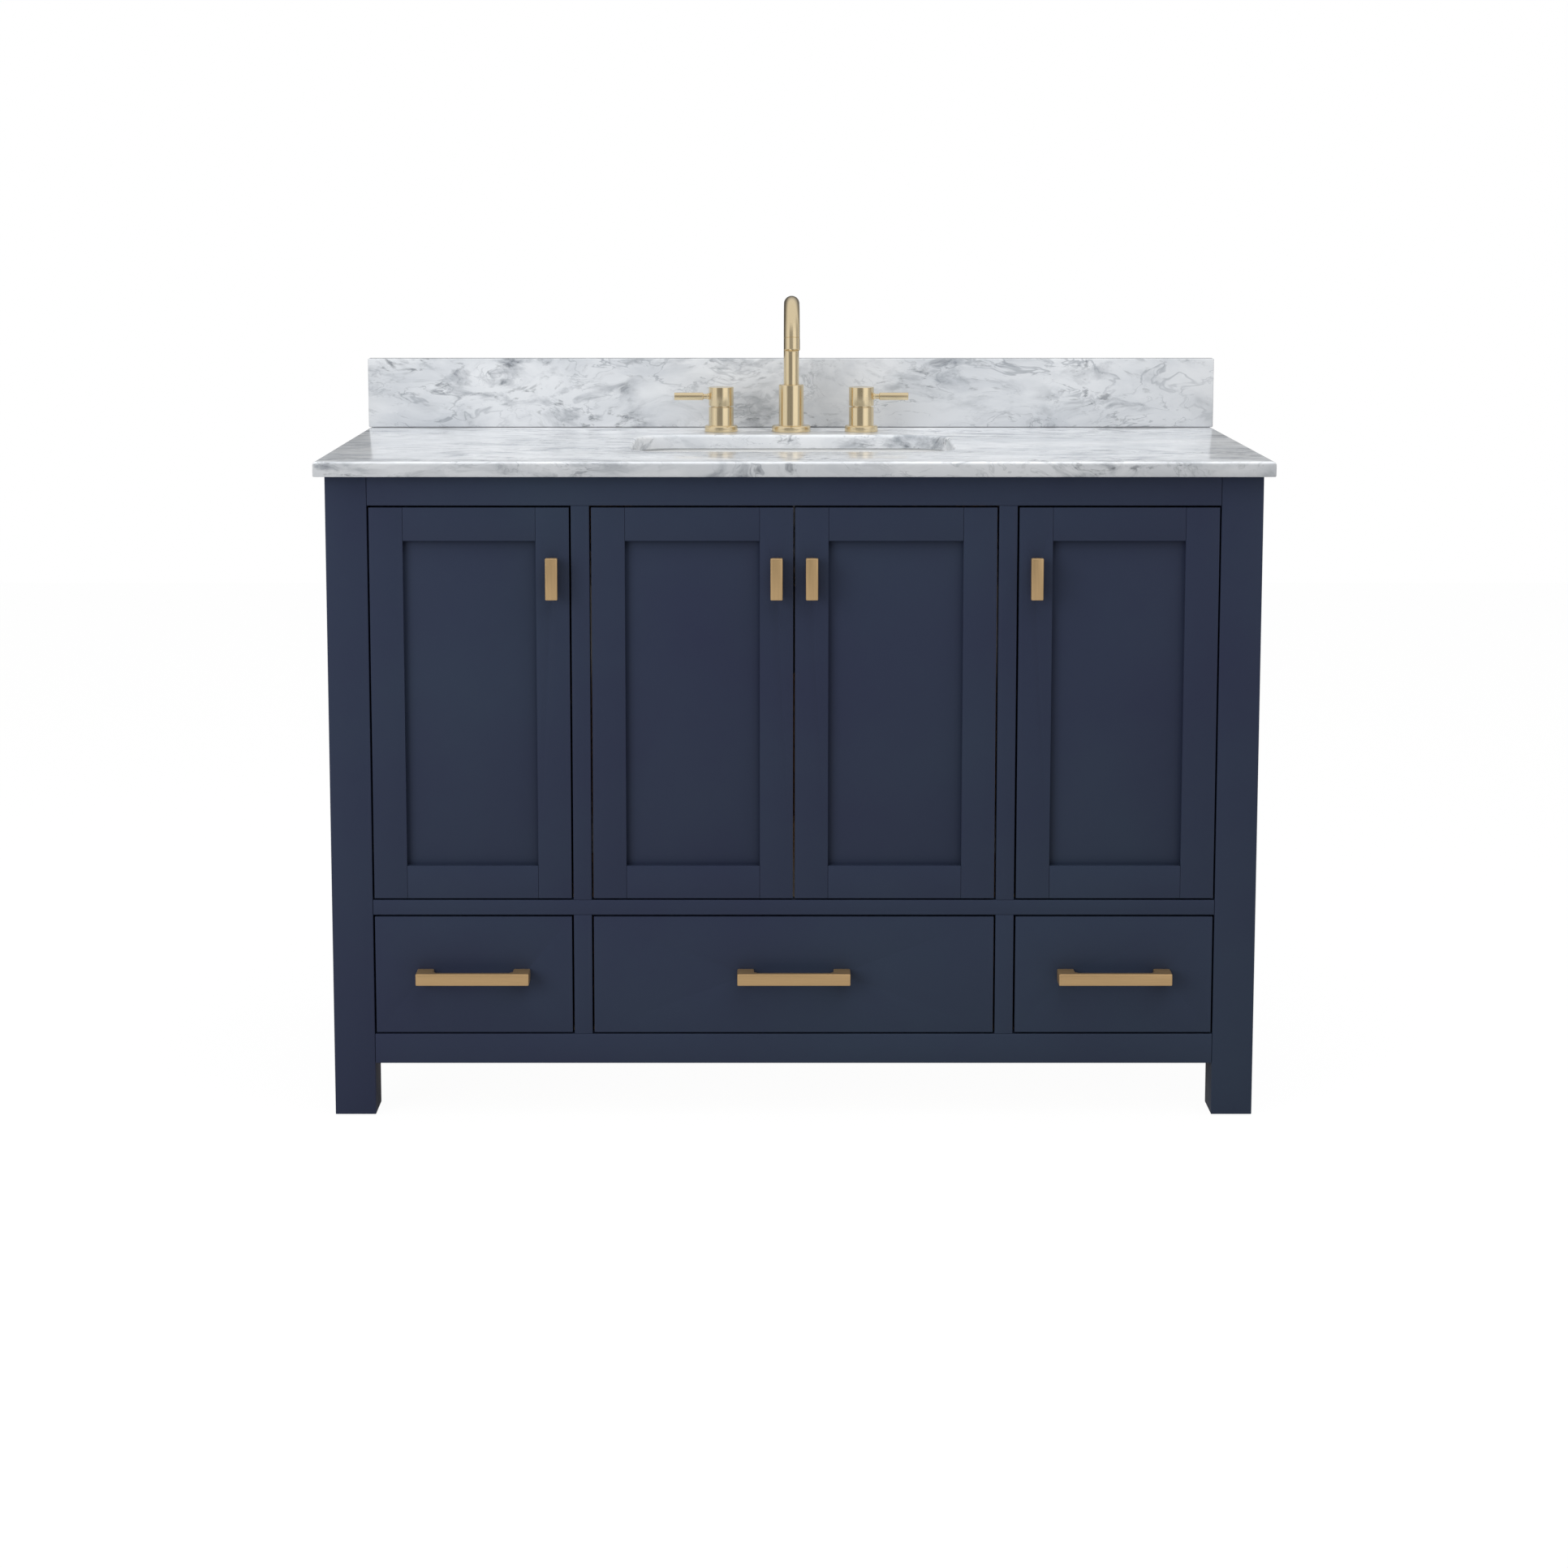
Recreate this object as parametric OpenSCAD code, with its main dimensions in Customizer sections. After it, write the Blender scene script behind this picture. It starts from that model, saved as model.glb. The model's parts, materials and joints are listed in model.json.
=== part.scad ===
// Bathroom vanity cabinet: inset doors over inset drawers, a stone top, an undermount basin and a faucet.
// X runs to the right, the front faces -Y, Z is up. The origin is on the floor, at the middle of the footprint.

/* [Cabinet] */
// Width over the corner posts
cabinet_w = 1219.2; // [1100:0.1:1500]
// Depth from the front of the face frame to the wall
cabinet_d = 541; // [480:1:650]
// Height of the cabinet under the stone top
cabinet_h = 856; // [780:1:1000]
// Width and depth of each square corner post
post_w = 54; // [45:1:70]
// Gap under the posts, where the levelling feet show
foot_gap = 2; // [1:0.5:8]
// Height of the space under the bottom rail
toe_h = 72; // [50:1:120]
// Height of the bottom rail
bottom_rail_h = 40; // [30:1:60]
// Height of the middle rail
middle_rail_h = 20; // [18:1:40]
// Height of the top rail
top_rail_h = 39; // [30:1:60]
// Width of each mullion
mullion_w = 24; // [20:1:40]
// Thickness of the face frame, the doors and the drawer fronts
frame_t = 20; // [18:1:25]
// Width of the centre opening between the mullions
centre_w = 533; // [500:1:640]
// Height of the drawer openings
drawer_opening_h = 161.5; // [130:0.5:200]
// Thickness of the plywood inside the cabinet
ply_t = 16; // [12:1:19]
// Thickness of the side panels
side_panel_t = 12; // [9:1:14]
// Distance of the side panels behind the outer face of the side rails
side_recess = 8; // [4:1:10]
// Thickness of the back panel
back_t = 6; // [4:1:10]
// Thickness of the two back rails
back_rail_t = 18; // [15:1:25]
// Height of the upper back rail, which is screwed to the wall
hanging_rail_h = 80; // [60:1:120]
// Width of the plumbing opening in the back panel
plumbing_w = 300; // [200:1:400]
// Height of the plumbing opening in the back panel
plumbing_h = 220; // [120:1:300]
// Distance from the upper back rail down to the plumbing opening
plumbing_drop = 36; // [10:1:120]
// Height of the shelves over the drawer deck
shelf_rise = 250; // [150:1:350]

/* [Doors and drawers] */
// Gap around each door and drawer front
reveal = 2.5; // [1.5:0.1:4]
// Width of the door stiles and rails
stile_w = 43.5; // [40:0.5:60]
// Thickness of the door panels
panel_t = 6; // [4:0.5:8]
// Distance of the door panels behind the front of the stiles
panel_recess = 8; // [4:0.5:9]
// Depth of the grooves that hold the panels
groove_d = 10; // [6:0.5:11]
// Diameter of the hinge cups
cup_d = 26; // [20:1:28]
// Height of the door pulls
door_pull_h = 55; // [30:1:80]
// Distance from the top of a door to the middle of its pull
door_pull_drop = 91; // [60:1:150]
// How far the door pulls stand out
door_pull_reach = 25; // [18:1:27]
// Length of the drawer pulls
drawer_pull_l = 149; // [100:1:200]
// How far the drawer pulls stand out
drawer_pull_reach = 28; // [20:1:40]
// Height of a pull's bar
pull_bar_h = 16; // [10:1:20]
// Thickness of a pull's bar
pull_bar_t = 8; // [5:0.5:10]
// Length of a drawer pull's foot where it meets the bar
pull_foot_l = 22; // [12:1:24]
// Length of a door pull's foot where it meets the bar
door_foot_l = 51; // [20:1:55]
// Gap from the drawer boxes to the back rails
drawer_back_gap = 47; // [5:1:150]
// Gap above the drawer boxes
drawer_head_gap = 29.5; // [10:0.5:60]
// Thickness of the drawer box sides
drawer_side_t = 14; // [12:1:18]
// Thickness of the drawer bottoms
drawer_bottom_t = 6; // [4:1:9]

/* [Top and basin] */
// How far the stone top stands out past each side of the cabinet
top_side_overhang = 12.7; // [0:0.1:30]
// Thickness of the stone top
top_t = 20; // [18:1:40]
// How far the stone top stands out over the front of the cabinet
top_overhang = 17.8; // [5:0.1:24]
// Height of the backsplash
splash_h = 101.6; // [60:0.1:150]
// Thickness of the backsplash
splash_t = 19; // [12:1:25]
// Width of the basin opening
basin_w = 440; // [360:1:480]
// Depth of the basin opening from front to back
basin_l = 262; // [230:1:300]
// Corner radius of the basin opening
basin_r = 55; // [30:1:100]
// Distance from the front of the stone top to the basin opening
basin_setback = 148; // [100:1:160]
// Depth of the bowl under the stone top
bowl_h = 150; // [120:1:190]
// Wall thickness of the basin
basin_wall = 9; // [7:1:14]
// Width of the drain hole
drain_d = 45; // [40:1:50]

/* [Faucet] */
// Distance from each valve to the spout
valve_spacing = 101.6; // [75:0.1:150]
// Distance from the faucet's axis to the backsplash
faucet_clear = 67; // [40:1:90]
// Diameter of the spout tube
tube_d = 22; // [16:1:26]
// Wall of the spout tube
tube_wall = 1.5; // [1:0.5:3]
// Bend radius of the spout
bend_r = 52; // [40:1:80]
// Angle of the spout's bend
bend_angle = 167; // [150:1:180]
// Height of the bend's centre over the stone top
bend_h = 135; // [110:1:200]
// Straight length at the end of the spout
nozzle_l = 24; // [15:1:40]
// Diameter of the valve bodies and the spout's collar
collar_d = 36; // [32:1:44]
// Length of the levers
lever_l = 50; // [40:1:80]

/* [Hidden] */
$fn = 64;
play = 0.3;            // gap around a piece that slides, turns or seats loosely
stile_play = 0.2;      // gap around a panel in its groove
joint = 0.1;           // glue line where two wooden members meet
cut = 1;               // how far a cut runs past the face it opens
hull_fn = 32;

// Plan levels, measured from the middle and from the front of the face frame
front_reach = max(drawer_pull_reach, door_pull_reach, top_overhang);
half_w = cabinet_w / 2;
front_y = front_reach - (cabinet_d + front_reach) / 2;
back_y = front_y + cabinet_d;
frame_back_y = front_y + frame_t;
post_in = half_w - post_w;
mull_in = centre_w / 2;
mull_out = mull_in + mullion_w;
inner_back_y = back_y - back_t;
side_in = half_w - side_recess - side_panel_t;
partition_out = mull_in + ply_t;
side_opening_w = post_in - mull_out;
front_rib_y = frame_back_y + 55;

// Height levels
bottom_top_z = toe_h + bottom_rail_h;
drawer_top_z = bottom_top_z + drawer_opening_h;
door_bottom_z = drawer_top_z + middle_rail_h;
door_top_z = cabinet_h - top_rail_h;
top_z = cabinet_h + top_t;
deck_z = door_bottom_z - ply_t;

// Doors: left, centre left, centre right, right
door_h = door_top_z - door_bottom_z - 2 * reveal;
side_door_w = side_opening_w - 2 * reveal;
centre_door_w = (centre_w - 3 * reveal) / 2;
door_x = [-post_in + reveal, -mull_in + reveal, reveal / 2, mull_out + reveal];
door_w = [side_door_w, centre_door_w, centre_door_w, side_door_w];
hinge_on_left = [true, true, false, false];
groove_end = groove_d - 0.5;
hinge_inset = 80;
hinge_z = [hinge_inset, door_h - hinge_inset];
cup_edge = 4;          // wood between the door's edge and the cup
cup_x = cup_edge + cup_d / 2;
cup_depth = 11;
cup_wall = 1.5;
cup_flange = [14, 1.2, 48];
plate_gap = cup_flange[1] + play;
plate_l = 28;
plate_h = 48;
plate_t = 3;
arm_t = 11;
arm_h = 14;
screw_d = 4;
screw_head_d = 9;
screw_head_t = 2.5;
screw_grip = 10;       // how far a pull's screw reaches into the pull

// Drawers: left, centre, right
drawer_x = [-post_in + reveal, -mull_in + reveal, mull_out + reveal];
drawer_w = [side_door_w, centre_w - 2 * reveal, side_door_w];
drawer_side_gap = 8;   // from the opening's edge to the drawer box
box_inset = drawer_side_gap - reveal;
box_lift = 8;          // from the bottom rail to the drawer box
box_z = bottom_top_z + box_lift;
drawer_box_d = cabinet_d - frame_t - back_t - back_rail_t - drawer_back_gap;
drawer_box_h = drawer_opening_h - box_lift - drawer_head_gap;
runner_flange_w = 30;
runner_flange_t = 2;
runner_web_w = 14;
runner_web_h = 18;
runner_wall = 2;
runner_slide = 0.5;    // gap between the carriage and the runner
runner_inset = drawer_side_t + runner_flange_w / 2;
runner_start_y = frame_back_y + 4;
carriage_z = bottom_top_z + runner_web_h + runner_slide;
drawer_bottom_z = carriage_z + runner_wall;
bottom_groove = 6;     // depth of the groove that holds a drawer bottom

// Top, basin and drain
top_w = cabinet_w + 2 * top_side_overhang;
top_front_y = front_y - top_overhang;
basin_y = top_front_y + basin_setback + basin_l / 2;
basin_reveal = 3;      // how far the basin's rim sits back under the stone
flange_w = 24;
flange_t = 8;
rim_w = basin_w + 2 * (basin_reveal + flange_w);
rim_l = basin_l + 2 * (basin_reveal + flange_w);
basin_clear = 2;       // gap kept around the basin by the partitions
bowl_floor_z = cabinet_h - bowl_h;
bowl_corner = 46;
bowl_taper = 22;
drain_seat_d = 64;
drain_flange_t = 2.5;
drain_body_d = 44;
drain_wall = 3;
drain_body_l = 66;
tailpiece_d = 31.75;
tailpiece_l = 85;
tailpiece_wall = 1.5;
stem_d = 8;
guide_drop = 30;
stopper_t = 5;
nut_t = 12;
washer_t = 4;

// Faucet
faucet_y = back_y - splash_t - faucet_clear;
shank_d = 26;
shank_l = 60;          // below the stone's underside
shank_bore = 12;
shank_play = 1.5;
escutcheon_t = 9;
spout_foot_d = 56;
valve_foot_d = 48;
spout_collar_h = 68;
spout_socket = 30;
valve_body_h = 34.6;
valve_neck_h = 38;
neck_d = 29;
hub_h = 26;
lever_h = 12.5;        // lever axis over the bottom of the hub
lever_d = 11;
lever_neck_d = 7.7;
lever_neck_l = 8;
stem_top = 16;
faucet_nut_d = 46;
faucet_nut_t = 10;

// Colours
navy = [0.17, 0.19, 0.26];
birch = [0.83, 0.71, 0.52];
marble = [0.87, 0.88, 0.90];
gold = [0.72, 0.57, 0.36];
steel = [0.72, 0.73, 0.75];
ceramic = [0.96, 0.96, 0.95];
plastic = [0.15, 0.15, 0.16];
rubber = [0.10, 0.10, 0.10];

// ---------- shared shapes ----------

// A box between two opposite corners
module block(low, high) {
    translate(low) cube(high - low);
}

// Children as drawn, and again mirrored to the left
module both_sides() {
    children();
    mirror([1, 0, 0]) children();
}

// A rectangle with round corners, centred
module round_rect(w, l, r) {
    square([w - 2 * r, l], center = true);
    square([w, l - 2 * r], center = true);
    for (x = [-1, 1], y = [-1, 1])
        translate([x * (w / 2 - r), y * (l / 2 - r)]) circle(r);
}

// A cylinder along Y that starts at the origin
module rod_y(d, l) {
    rotate([-90, 0, 0]) cylinder(d = d, h = l);
}

// ---------- case ----------

// The right side panel, grown by a gap on its faces
module side_panel(gap) {
    block([side_in - gap, front_y + post_w - groove_d, bottom_top_z - groove_d],
          [side_in + side_panel_t + gap, back_y - post_w + groove_d, door_top_z + groove_d]);
}

// The post at the right, standing from y
module post(y) {
    foot_x = half_w - post_w / 2;
    difference() {
        block([post_in, y, foot_gap], [half_w, y + post_w, cabinet_h]);
        side_panel(stile_play);
        translate([foot_x, y + post_w / 2, 0]) {
            cylinder(d = foot_disc_d + 2 * play, h = foot_disc_t);
            cylinder(d = foot_stud_d + 2 * play, h = foot_stud_l + play);
        }
    }
}

foot_disc_d = 34;
foot_disc_t = 5;
foot_stud_d = 8;
foot_stud_l = 35;

module front_posts() {
    color(navy) both_sides() post(front_y);
}

module rear_posts() {
    color(navy) both_sides() post(back_y - post_w);
}

module leveling_feet() {
    foot_x = half_w - post_w / 2;
    color(plastic) both_sides() for (y = [front_y + post_w / 2, back_y - post_w / 2])
        translate([foot_x, y, 0]) {
            cylinder(d = foot_disc_d, h = foot_disc_t);
            cylinder(d = foot_stud_d, h = foot_stud_l);
        }
}

// A face-frame rail from post to post
module rail(low_z, high_z) {
    color(navy) block([-post_in, front_y, low_z], [post_in, frame_back_y, high_z]);
}

module top_rail() {
    rail(door_top_z, cabinet_h);
}

module middle_rail() {
    rail(drawer_top_z, door_bottom_z);
}

module bottom_rail() {
    rail(toe_h, bottom_top_z);
}

module mullions() {
    color(navy) both_sides() {
        block([mull_in, front_y, bottom_top_z], [mull_out, frame_back_y, drawer_top_z]);
        block([mull_in, front_y, door_bottom_z], [mull_out, frame_back_y, door_top_z]);
    }
}

module side_rails() {
    side_y = [front_y + post_w, back_y - post_w];
    color(navy) both_sides() for (z = [[toe_h, bottom_top_z], [door_top_z, cabinet_h]])
        difference() {
            block([side_in, side_y[0], z[0]], [half_w, side_y[1], z[1]]);
            side_panel(stile_play);
        }
}

module side_panels() {
    color(navy) both_sides() difference() {
        side_panel(0);
        pin_holes();
    }
}

// The four posts as plain blocks, to notch what runs between them
module post_notches() {
    both_sides() for (y = [front_y, back_y - post_w])
        block([post_in, y - cut, -cut], [half_w + cut, y + post_w, cabinet_h + cut]);
}

module bottom_panel() {
    color(birch) difference() {
        block([-side_in, frame_back_y, bottom_top_z - ply_t], [side_in, inner_back_y, bottom_top_z]);
        post_notches();
    }
}

module drawer_deck() {
    color(birch) {
        block([-mull_in, frame_back_y, deck_z], [mull_in, inner_back_y, door_bottom_z]);
        both_sides() difference() {
            block([partition_out, frame_back_y, deck_z], [side_in, inner_back_y, door_bottom_z]);
            post_notches();
        }
    }
}

module partitions() {
    color(birch) both_sides() difference() {
        block([mull_in, frame_back_y, bottom_top_z], [partition_out, inner_back_y, cabinet_h]);
        back_rail_blocks();
        pin_holes();
        basin_room();
    }
}

// The room that the basin takes out of partitions that stand closer together than it is wide
module basin_room() {
    w = rim_w / 2 + basin_clear;
    l = rim_l / 2 + basin_clear;
    block([-w, basin_y - l, bowl_floor_z - basin_wall - basin_clear], [w, basin_y + l, cabinet_h + cut]);
}

module back_rail_blocks() {
    rail_y = inner_back_y - back_rail_t;
    block([-post_in, rail_y, bottom_top_z], [post_in, inner_back_y, bottom_top_z + lower_back_rail_h]);
    block([-post_in, rail_y, cabinet_h - hanging_rail_h], [post_in, inner_back_y, cabinet_h]);
}

lower_back_rail_h = 40;
wall_hole_d = 6;
wall_hole_x = 203.2;   // half of the spacing between two wall studs

// The holes for the two screws into the wall
module wall_holes() {
    for (x = [-1, 1])
        translate([x * wall_hole_x, inner_back_y - back_rail_t - cut, cabinet_h - hanging_rail_h / 2])
            rod_y(wall_hole_d, back_rail_t + back_t + 2 * cut);
}

module back_rails() {
    color(birch) difference() {
        back_rail_blocks();
        wall_holes();
    }
}

module back_panel() {
    plumbing_top_z = cabinet_h - hanging_rail_h - plumbing_drop;
    color(birch) difference() {
        block([-post_in, inner_back_y, bottom_top_z - ply_t], [post_in, back_y, cabinet_h]);
        block([-plumbing_w / 2, inner_back_y - cut, plumbing_top_z - plumbing_h],
              [plumbing_w / 2, back_y + cut, plumbing_top_z]);
        wall_holes();
    }
}

// ---------- shelves ----------

shelf_z = door_bottom_z + shelf_rise;
pin_d = 5;
pin_depth = 8;
pin_reach = 9;
pin_collar_d = 9;
pin_collar_t = 1.5;
pin_y = [front_rib_y + 40, inner_back_y - 60];
shelf_end_gap = pin_collar_t + 0.5;

// Holes for the shelf pins, in the partition and in the side panel
module pin_holes() {
    for (y = pin_y, x = [partition_out - pin_depth - play, side_in - cut])
        translate([x, y, shelf_z - pin_d / 2]) rotate([0, 90, 0])
            cylinder(d = pin_d + 2 * stile_play, h = pin_depth + play + cut);
}

// A shelf pin whose collar rests against x = 0 and whose peg points to +X
module shelf_pin() {
    rotate([0, 90, 0]) {
        translate([0, 0, -pin_depth]) cylinder(d = pin_d, h = pin_depth + pin_reach);
        cylinder(d = pin_collar_d, h = pin_collar_t);
    }
}

module shelf_pins() {
    color(steel) both_sides() for (y = pin_y) {
        translate([partition_out, y, shelf_z - pin_d / 2]) shelf_pin();
        translate([side_in, y, shelf_z - pin_d / 2]) mirror([1, 0, 0]) shelf_pin();
    }
}

module shelves() {
    color(birch) both_sides() difference() {
        block([partition_out + shelf_end_gap, front_rib_y, shelf_z],
              [side_in - shelf_end_gap, inner_back_y - play, shelf_z + ply_t]);
        block([post_in - shelf_end_gap, back_y - post_w - shelf_end_gap, 0], [half_w, back_y, cabinet_h]);
    }
}

module corner_braces() {
    brace_l = 120;
    brace_t = 18;
    color(birch) both_sides() for (front = [true, false])
        translate([0, 0, cabinet_h - brace_t]) linear_extrude(brace_t) difference() {
            corner_y = front ? frame_back_y : inner_back_y - back_rail_t;
            turn = front ? 1 : -1;
            polygon([[side_in, corner_y], [side_in - brace_l, corner_y],
                     [side_in, corner_y + turn * brace_l]]);
            for (y = [front_y, back_y - post_w])
                translate([post_in, y - cut]) square([post_w + cut, post_w + cut + (front ? 0 : cut)]);
        }
}

// ---------- doors ----------

// Children in a door's own place: x from its hinge edge, y from its front, z from its bottom
module in_door(i) {
    translate([door_x[i] + (hinge_on_left[i] ? 0 : door_w[i]), front_y, door_bottom_z + reveal])
        mirror([hinge_on_left[i] ? 0 : 1, 0, 0]) children();
}

// The panel of a door of width w, grown by a gap on its faces and edges
module panel_block(w, gap) {
    low = stile_w - groove_end;
    block([low - gap, panel_recess - gap, low - gap],
          [w - low + gap, panel_recess + panel_t + gap, door_h - low + gap]);
}

// A rail between the stiles, with a tongue at each end that fills the stiles' grooves
module door_rail(w, z) {
    difference() {
        union() {
            block([stile_w + joint, 0, z], [w - stile_w - joint, frame_t, z + stile_w]);
            block([stile_w - groove_end, panel_recess, z],
                  [w - stile_w + groove_end, panel_recess + panel_t, z + stile_w]);
        }
        panel_block(w, stile_play);
    }
}

// A stile with its groove along the edge that faces the panel
module door_stile(w, x) {
    groove_x = x > 0 ? x - cut : stile_w - groove_d;
    difference() {
        block([x, 0, 0], [x + stile_w, frame_t, door_h]);
        block([groove_x, panel_recess - stile_play, -cut],
              [groove_x + groove_d + cut, panel_recess + panel_t + stile_play, door_h + cut]);
        children();
    }
}

module door_frame(i) {
    w = door_w[i];
    color(navy) in_door(i) {
        door_stile(w, 0) for (z = hinge_z)
            translate([cup_x, frame_t - cup_depth - play, z])
                rod_y(cup_d + 2 * stile_play, cup_depth + play + cut);
        door_stile(w, w - stile_w)
            translate([w - stile_w / 2, -cut, door_h - door_pull_drop])
                rod_y(screw_d + 2 * play, frame_t + 2 * cut);
        door_rail(w, 0);
        door_rail(w, door_h - stile_w);
    }
}

module door_panel(i) {
    color(navy) in_door(i) panel_block(door_w[i], 0);
}

// A foot that widens from the wood to the bar, with its wide end at reach
module pull_foot(reach, x, l) {
    neck = 0.78;
    hull() {
        translate([x - l * neck / 2, -1, -pull_bar_h * neck / 2]) cube([l * neck, 1, pull_bar_h * neck]);
        translate([x - l / 2, -reach + pull_bar_t, -pull_bar_h / 2]) cube([l, 1, pull_bar_h]);
    }
}

// A screw that holds a pull from behind a plate of thickness t
module pull_screw(t) {
    translate([0, -screw_grip, 0]) rod_y(screw_d, screw_grip + t);
    translate([0, t, 0]) rod_y(screw_head_d, screw_head_t);
}

module pull_body(l, reach, feet, foot_l) {
    difference() {
        union() {
            block([-l / 2, -reach, -pull_bar_h / 2], [l / 2, -reach + pull_bar_t, pull_bar_h / 2]);
            for (x = feet) pull_foot(reach, x, foot_l);
        }
        for (x = feet)
            translate([x, -screw_grip - play, 0]) rod_y(screw_d + 2 * stile_play, screw_grip + play + cut);
    }
}

module door_pull(i) {
    color(gold) in_door(i) translate([door_w[i] - stile_w / 2, 0, door_h - door_pull_drop]) {
        rotate([0, 90, 0]) pull_body(door_pull_h, door_pull_reach, [0], door_foot_l);
        pull_screw(frame_t);
    }
}

module hinge_cups(i) {
    color(steel) in_door(i) for (z = hinge_z) translate([cup_x, frame_t, z]) difference() {
        union() {
            translate([0, -cup_depth, 0]) rod_y(cup_d, cup_depth);
            block([-cup_flange[0] / 2, 0, -cup_flange[2] / 2],
                  [cup_flange[0] / 2, cup_flange[1], cup_flange[2] / 2]);
            rod_y(cup_d, cup_flange[1]);
        }
        translate([0, -cup_depth + cup_wall, 0]) rod_y(cup_d - 2 * cup_wall, cup_depth + cut * 2);
    }
}

module hinge_plates() {
    color(steel) for (i = [0 : 3]) in_door(i) for (z = hinge_z) {
        plate_y = frame_t + plate_gap;
        plate_x = plate_t - reveal;
        block([-reveal, plate_y + 1, z - plate_h / 2], [plate_x, plate_y + plate_l, z + plate_h / 2]);
        block([plate_x - 1, plate_y, z - arm_h / 2], [plate_x + arm_t, plate_y + plate_l, z + arm_h / 2]);
    }
}

// ---------- drawers ----------

// Children in a drawer's own place: x from its left edge, y from its front, z from the floor
module in_drawer(i) {
    translate([drawer_x[i], front_y, 0]) children();
}

// Where a drawer's pull feet stand, from the drawer's middle
pull_feet = [-(drawer_pull_l - pull_foot_l) / 2, (drawer_pull_l - pull_foot_l) / 2];
pull_z = bottom_top_z + drawer_opening_h / 2;

module drawer_front(i) {
    w = drawer_w[i];
    color(navy) in_drawer(i) difference() {
        block([0, 0, bottom_top_z + reveal], [w, frame_t, drawer_top_z - reveal]);
        drawer_screw_holes(w);
    }
}

module drawer_screw_holes(w) {
    for (x = pull_feet)
        translate([w / 2 + x, -cut, pull_z]) rod_y(screw_d + 2 * play, frame_t + drawer_side_t + 2 * cut);
}

// The bottom board of a drawer, grown by a gap
module drawer_bottom(w, gap) {
    edge = box_inset + drawer_side_t - bottom_groove;
    block([edge - gap, frame_t + drawer_side_t - bottom_groove - gap, drawer_bottom_z - gap],
          [w - edge + gap, frame_t + drawer_box_d - drawer_side_t + bottom_groove + gap,
           drawer_bottom_z + drawer_bottom_t + gap]);
}

module drawer_box(i) {
    w = drawer_w[i];
    inner = box_inset + drawer_side_t;
    box_end = frame_t + drawer_box_d;
    box_top = box_z + drawer_box_h;
    color(birch) in_drawer(i) {
        for (x = [box_inset, w - inner]) difference() {
            block([x, frame_t, box_z], [x + drawer_side_t, box_end, box_top]);
            drawer_bottom(w, stile_play);
        }
        difference() {
            for (y = [frame_t, box_end - drawer_side_t])
                block([inner + joint, y, drawer_bottom_z], [w - inner - joint, y + drawer_side_t, box_top]);
            drawer_bottom(w, stile_play);
            drawer_screw_holes(w);
        }
        drawer_bottom(w, 0);
    }
}

module drawer_pull(i) {
    color(gold) in_drawer(i) translate([drawer_w[i] / 2, 0, pull_z]) {
        pull_body(drawer_pull_l, drawer_pull_reach, pull_feet, pull_foot_l);
        for (x = pull_feet) translate([x, 0, 0]) pull_screw(frame_t + drawer_side_t);
    }
}

// Children at both runners of a drawer, at the front of the runners
module at_runners(i) {
    for (x = [box_inset + runner_inset, drawer_w[i] - box_inset - runner_inset])
        translate([drawer_x[i] + x, 0, 0]) children();
}

module runner_rails() {
    end_y = front_y + frame_t + drawer_box_d - 10;
    color(steel) for (i = [0 : 2]) at_runners(i) {
        block([-runner_flange_w / 2, runner_start_y, bottom_top_z],
              [runner_flange_w / 2, end_y, bottom_top_z + runner_flange_t]);
        block([-runner_web_w / 2, runner_start_y, bottom_top_z + runner_flange_t - 0.5],
              [runner_web_w / 2, end_y, bottom_top_z + runner_web_h]);
    }
}

module drawer_runners(i) {
    inner = runner_web_w / 2 + runner_slide;
    outer = inner + runner_wall;
    front = runner_start_y;
    end_y = front_y + frame_t + drawer_box_d;
    color(steel) at_runners(i) difference() {
        block([-outer, front, box_z - 1], [outer, end_y, drawer_bottom_z]);
        block([-inner, front - cut, 0], [inner, end_y + cut, carriage_z]);
    }
}

// ---------- top, basin and drain ----------

module faucet_places() {
    for (x = [-valve_spacing, 0, valve_spacing]) translate([x, faucet_y, 0]) children();
}

module valve_places() {
    for (x = [-valve_spacing, valve_spacing]) translate([x, faucet_y, 0]) children();
}

module countertop() {
    color(marble) difference() {
        block([-top_w / 2, top_front_y, cabinet_h], [top_w / 2, back_y, top_z]);
        translate([0, basin_y, cabinet_h - cut]) linear_extrude(top_t + 2 * cut)
            round_rect(basin_w, basin_l, basin_r, $fn = 96);
        faucet_places() translate([0, 0, cabinet_h - cut])
            cylinder(d = shank_d + 2 * shank_play, h = top_t + 2 * cut);
    }
}

module backsplash() {
    color(marble) block([-top_w / 2, back_y - splash_t, top_z], [top_w / 2, back_y, top_z + splash_h]);
}

// The bowl's shape, grown by a wall; it narrows towards its floor
module bowl(grow, low_z, high_z) {
    w = basin_w / 2 + basin_reveal + grow;
    l = basin_l / 2 + basin_reveal + grow;
    r = basin_r + basin_reveal + grow;
    c = bowl_corner;
    floor_w = w - bowl_taper - c;
    floor_l = l - bowl_taper - c;
    hull() {
        translate([0, 0, high_z - 1]) linear_extrude(1) round_rect(2 * w, 2 * l, r, $fn = hull_fn);
        for (x = [-1, 1], y = [-1, 1])
            translate([x * floor_w, y * floor_l, low_z + c]) sphere(c, $fn = hull_fn);
        translate([0, 0, low_z]) linear_extrude(1) square([2 * floor_w, 2 * floor_l], center = true);
    }
}

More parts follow.
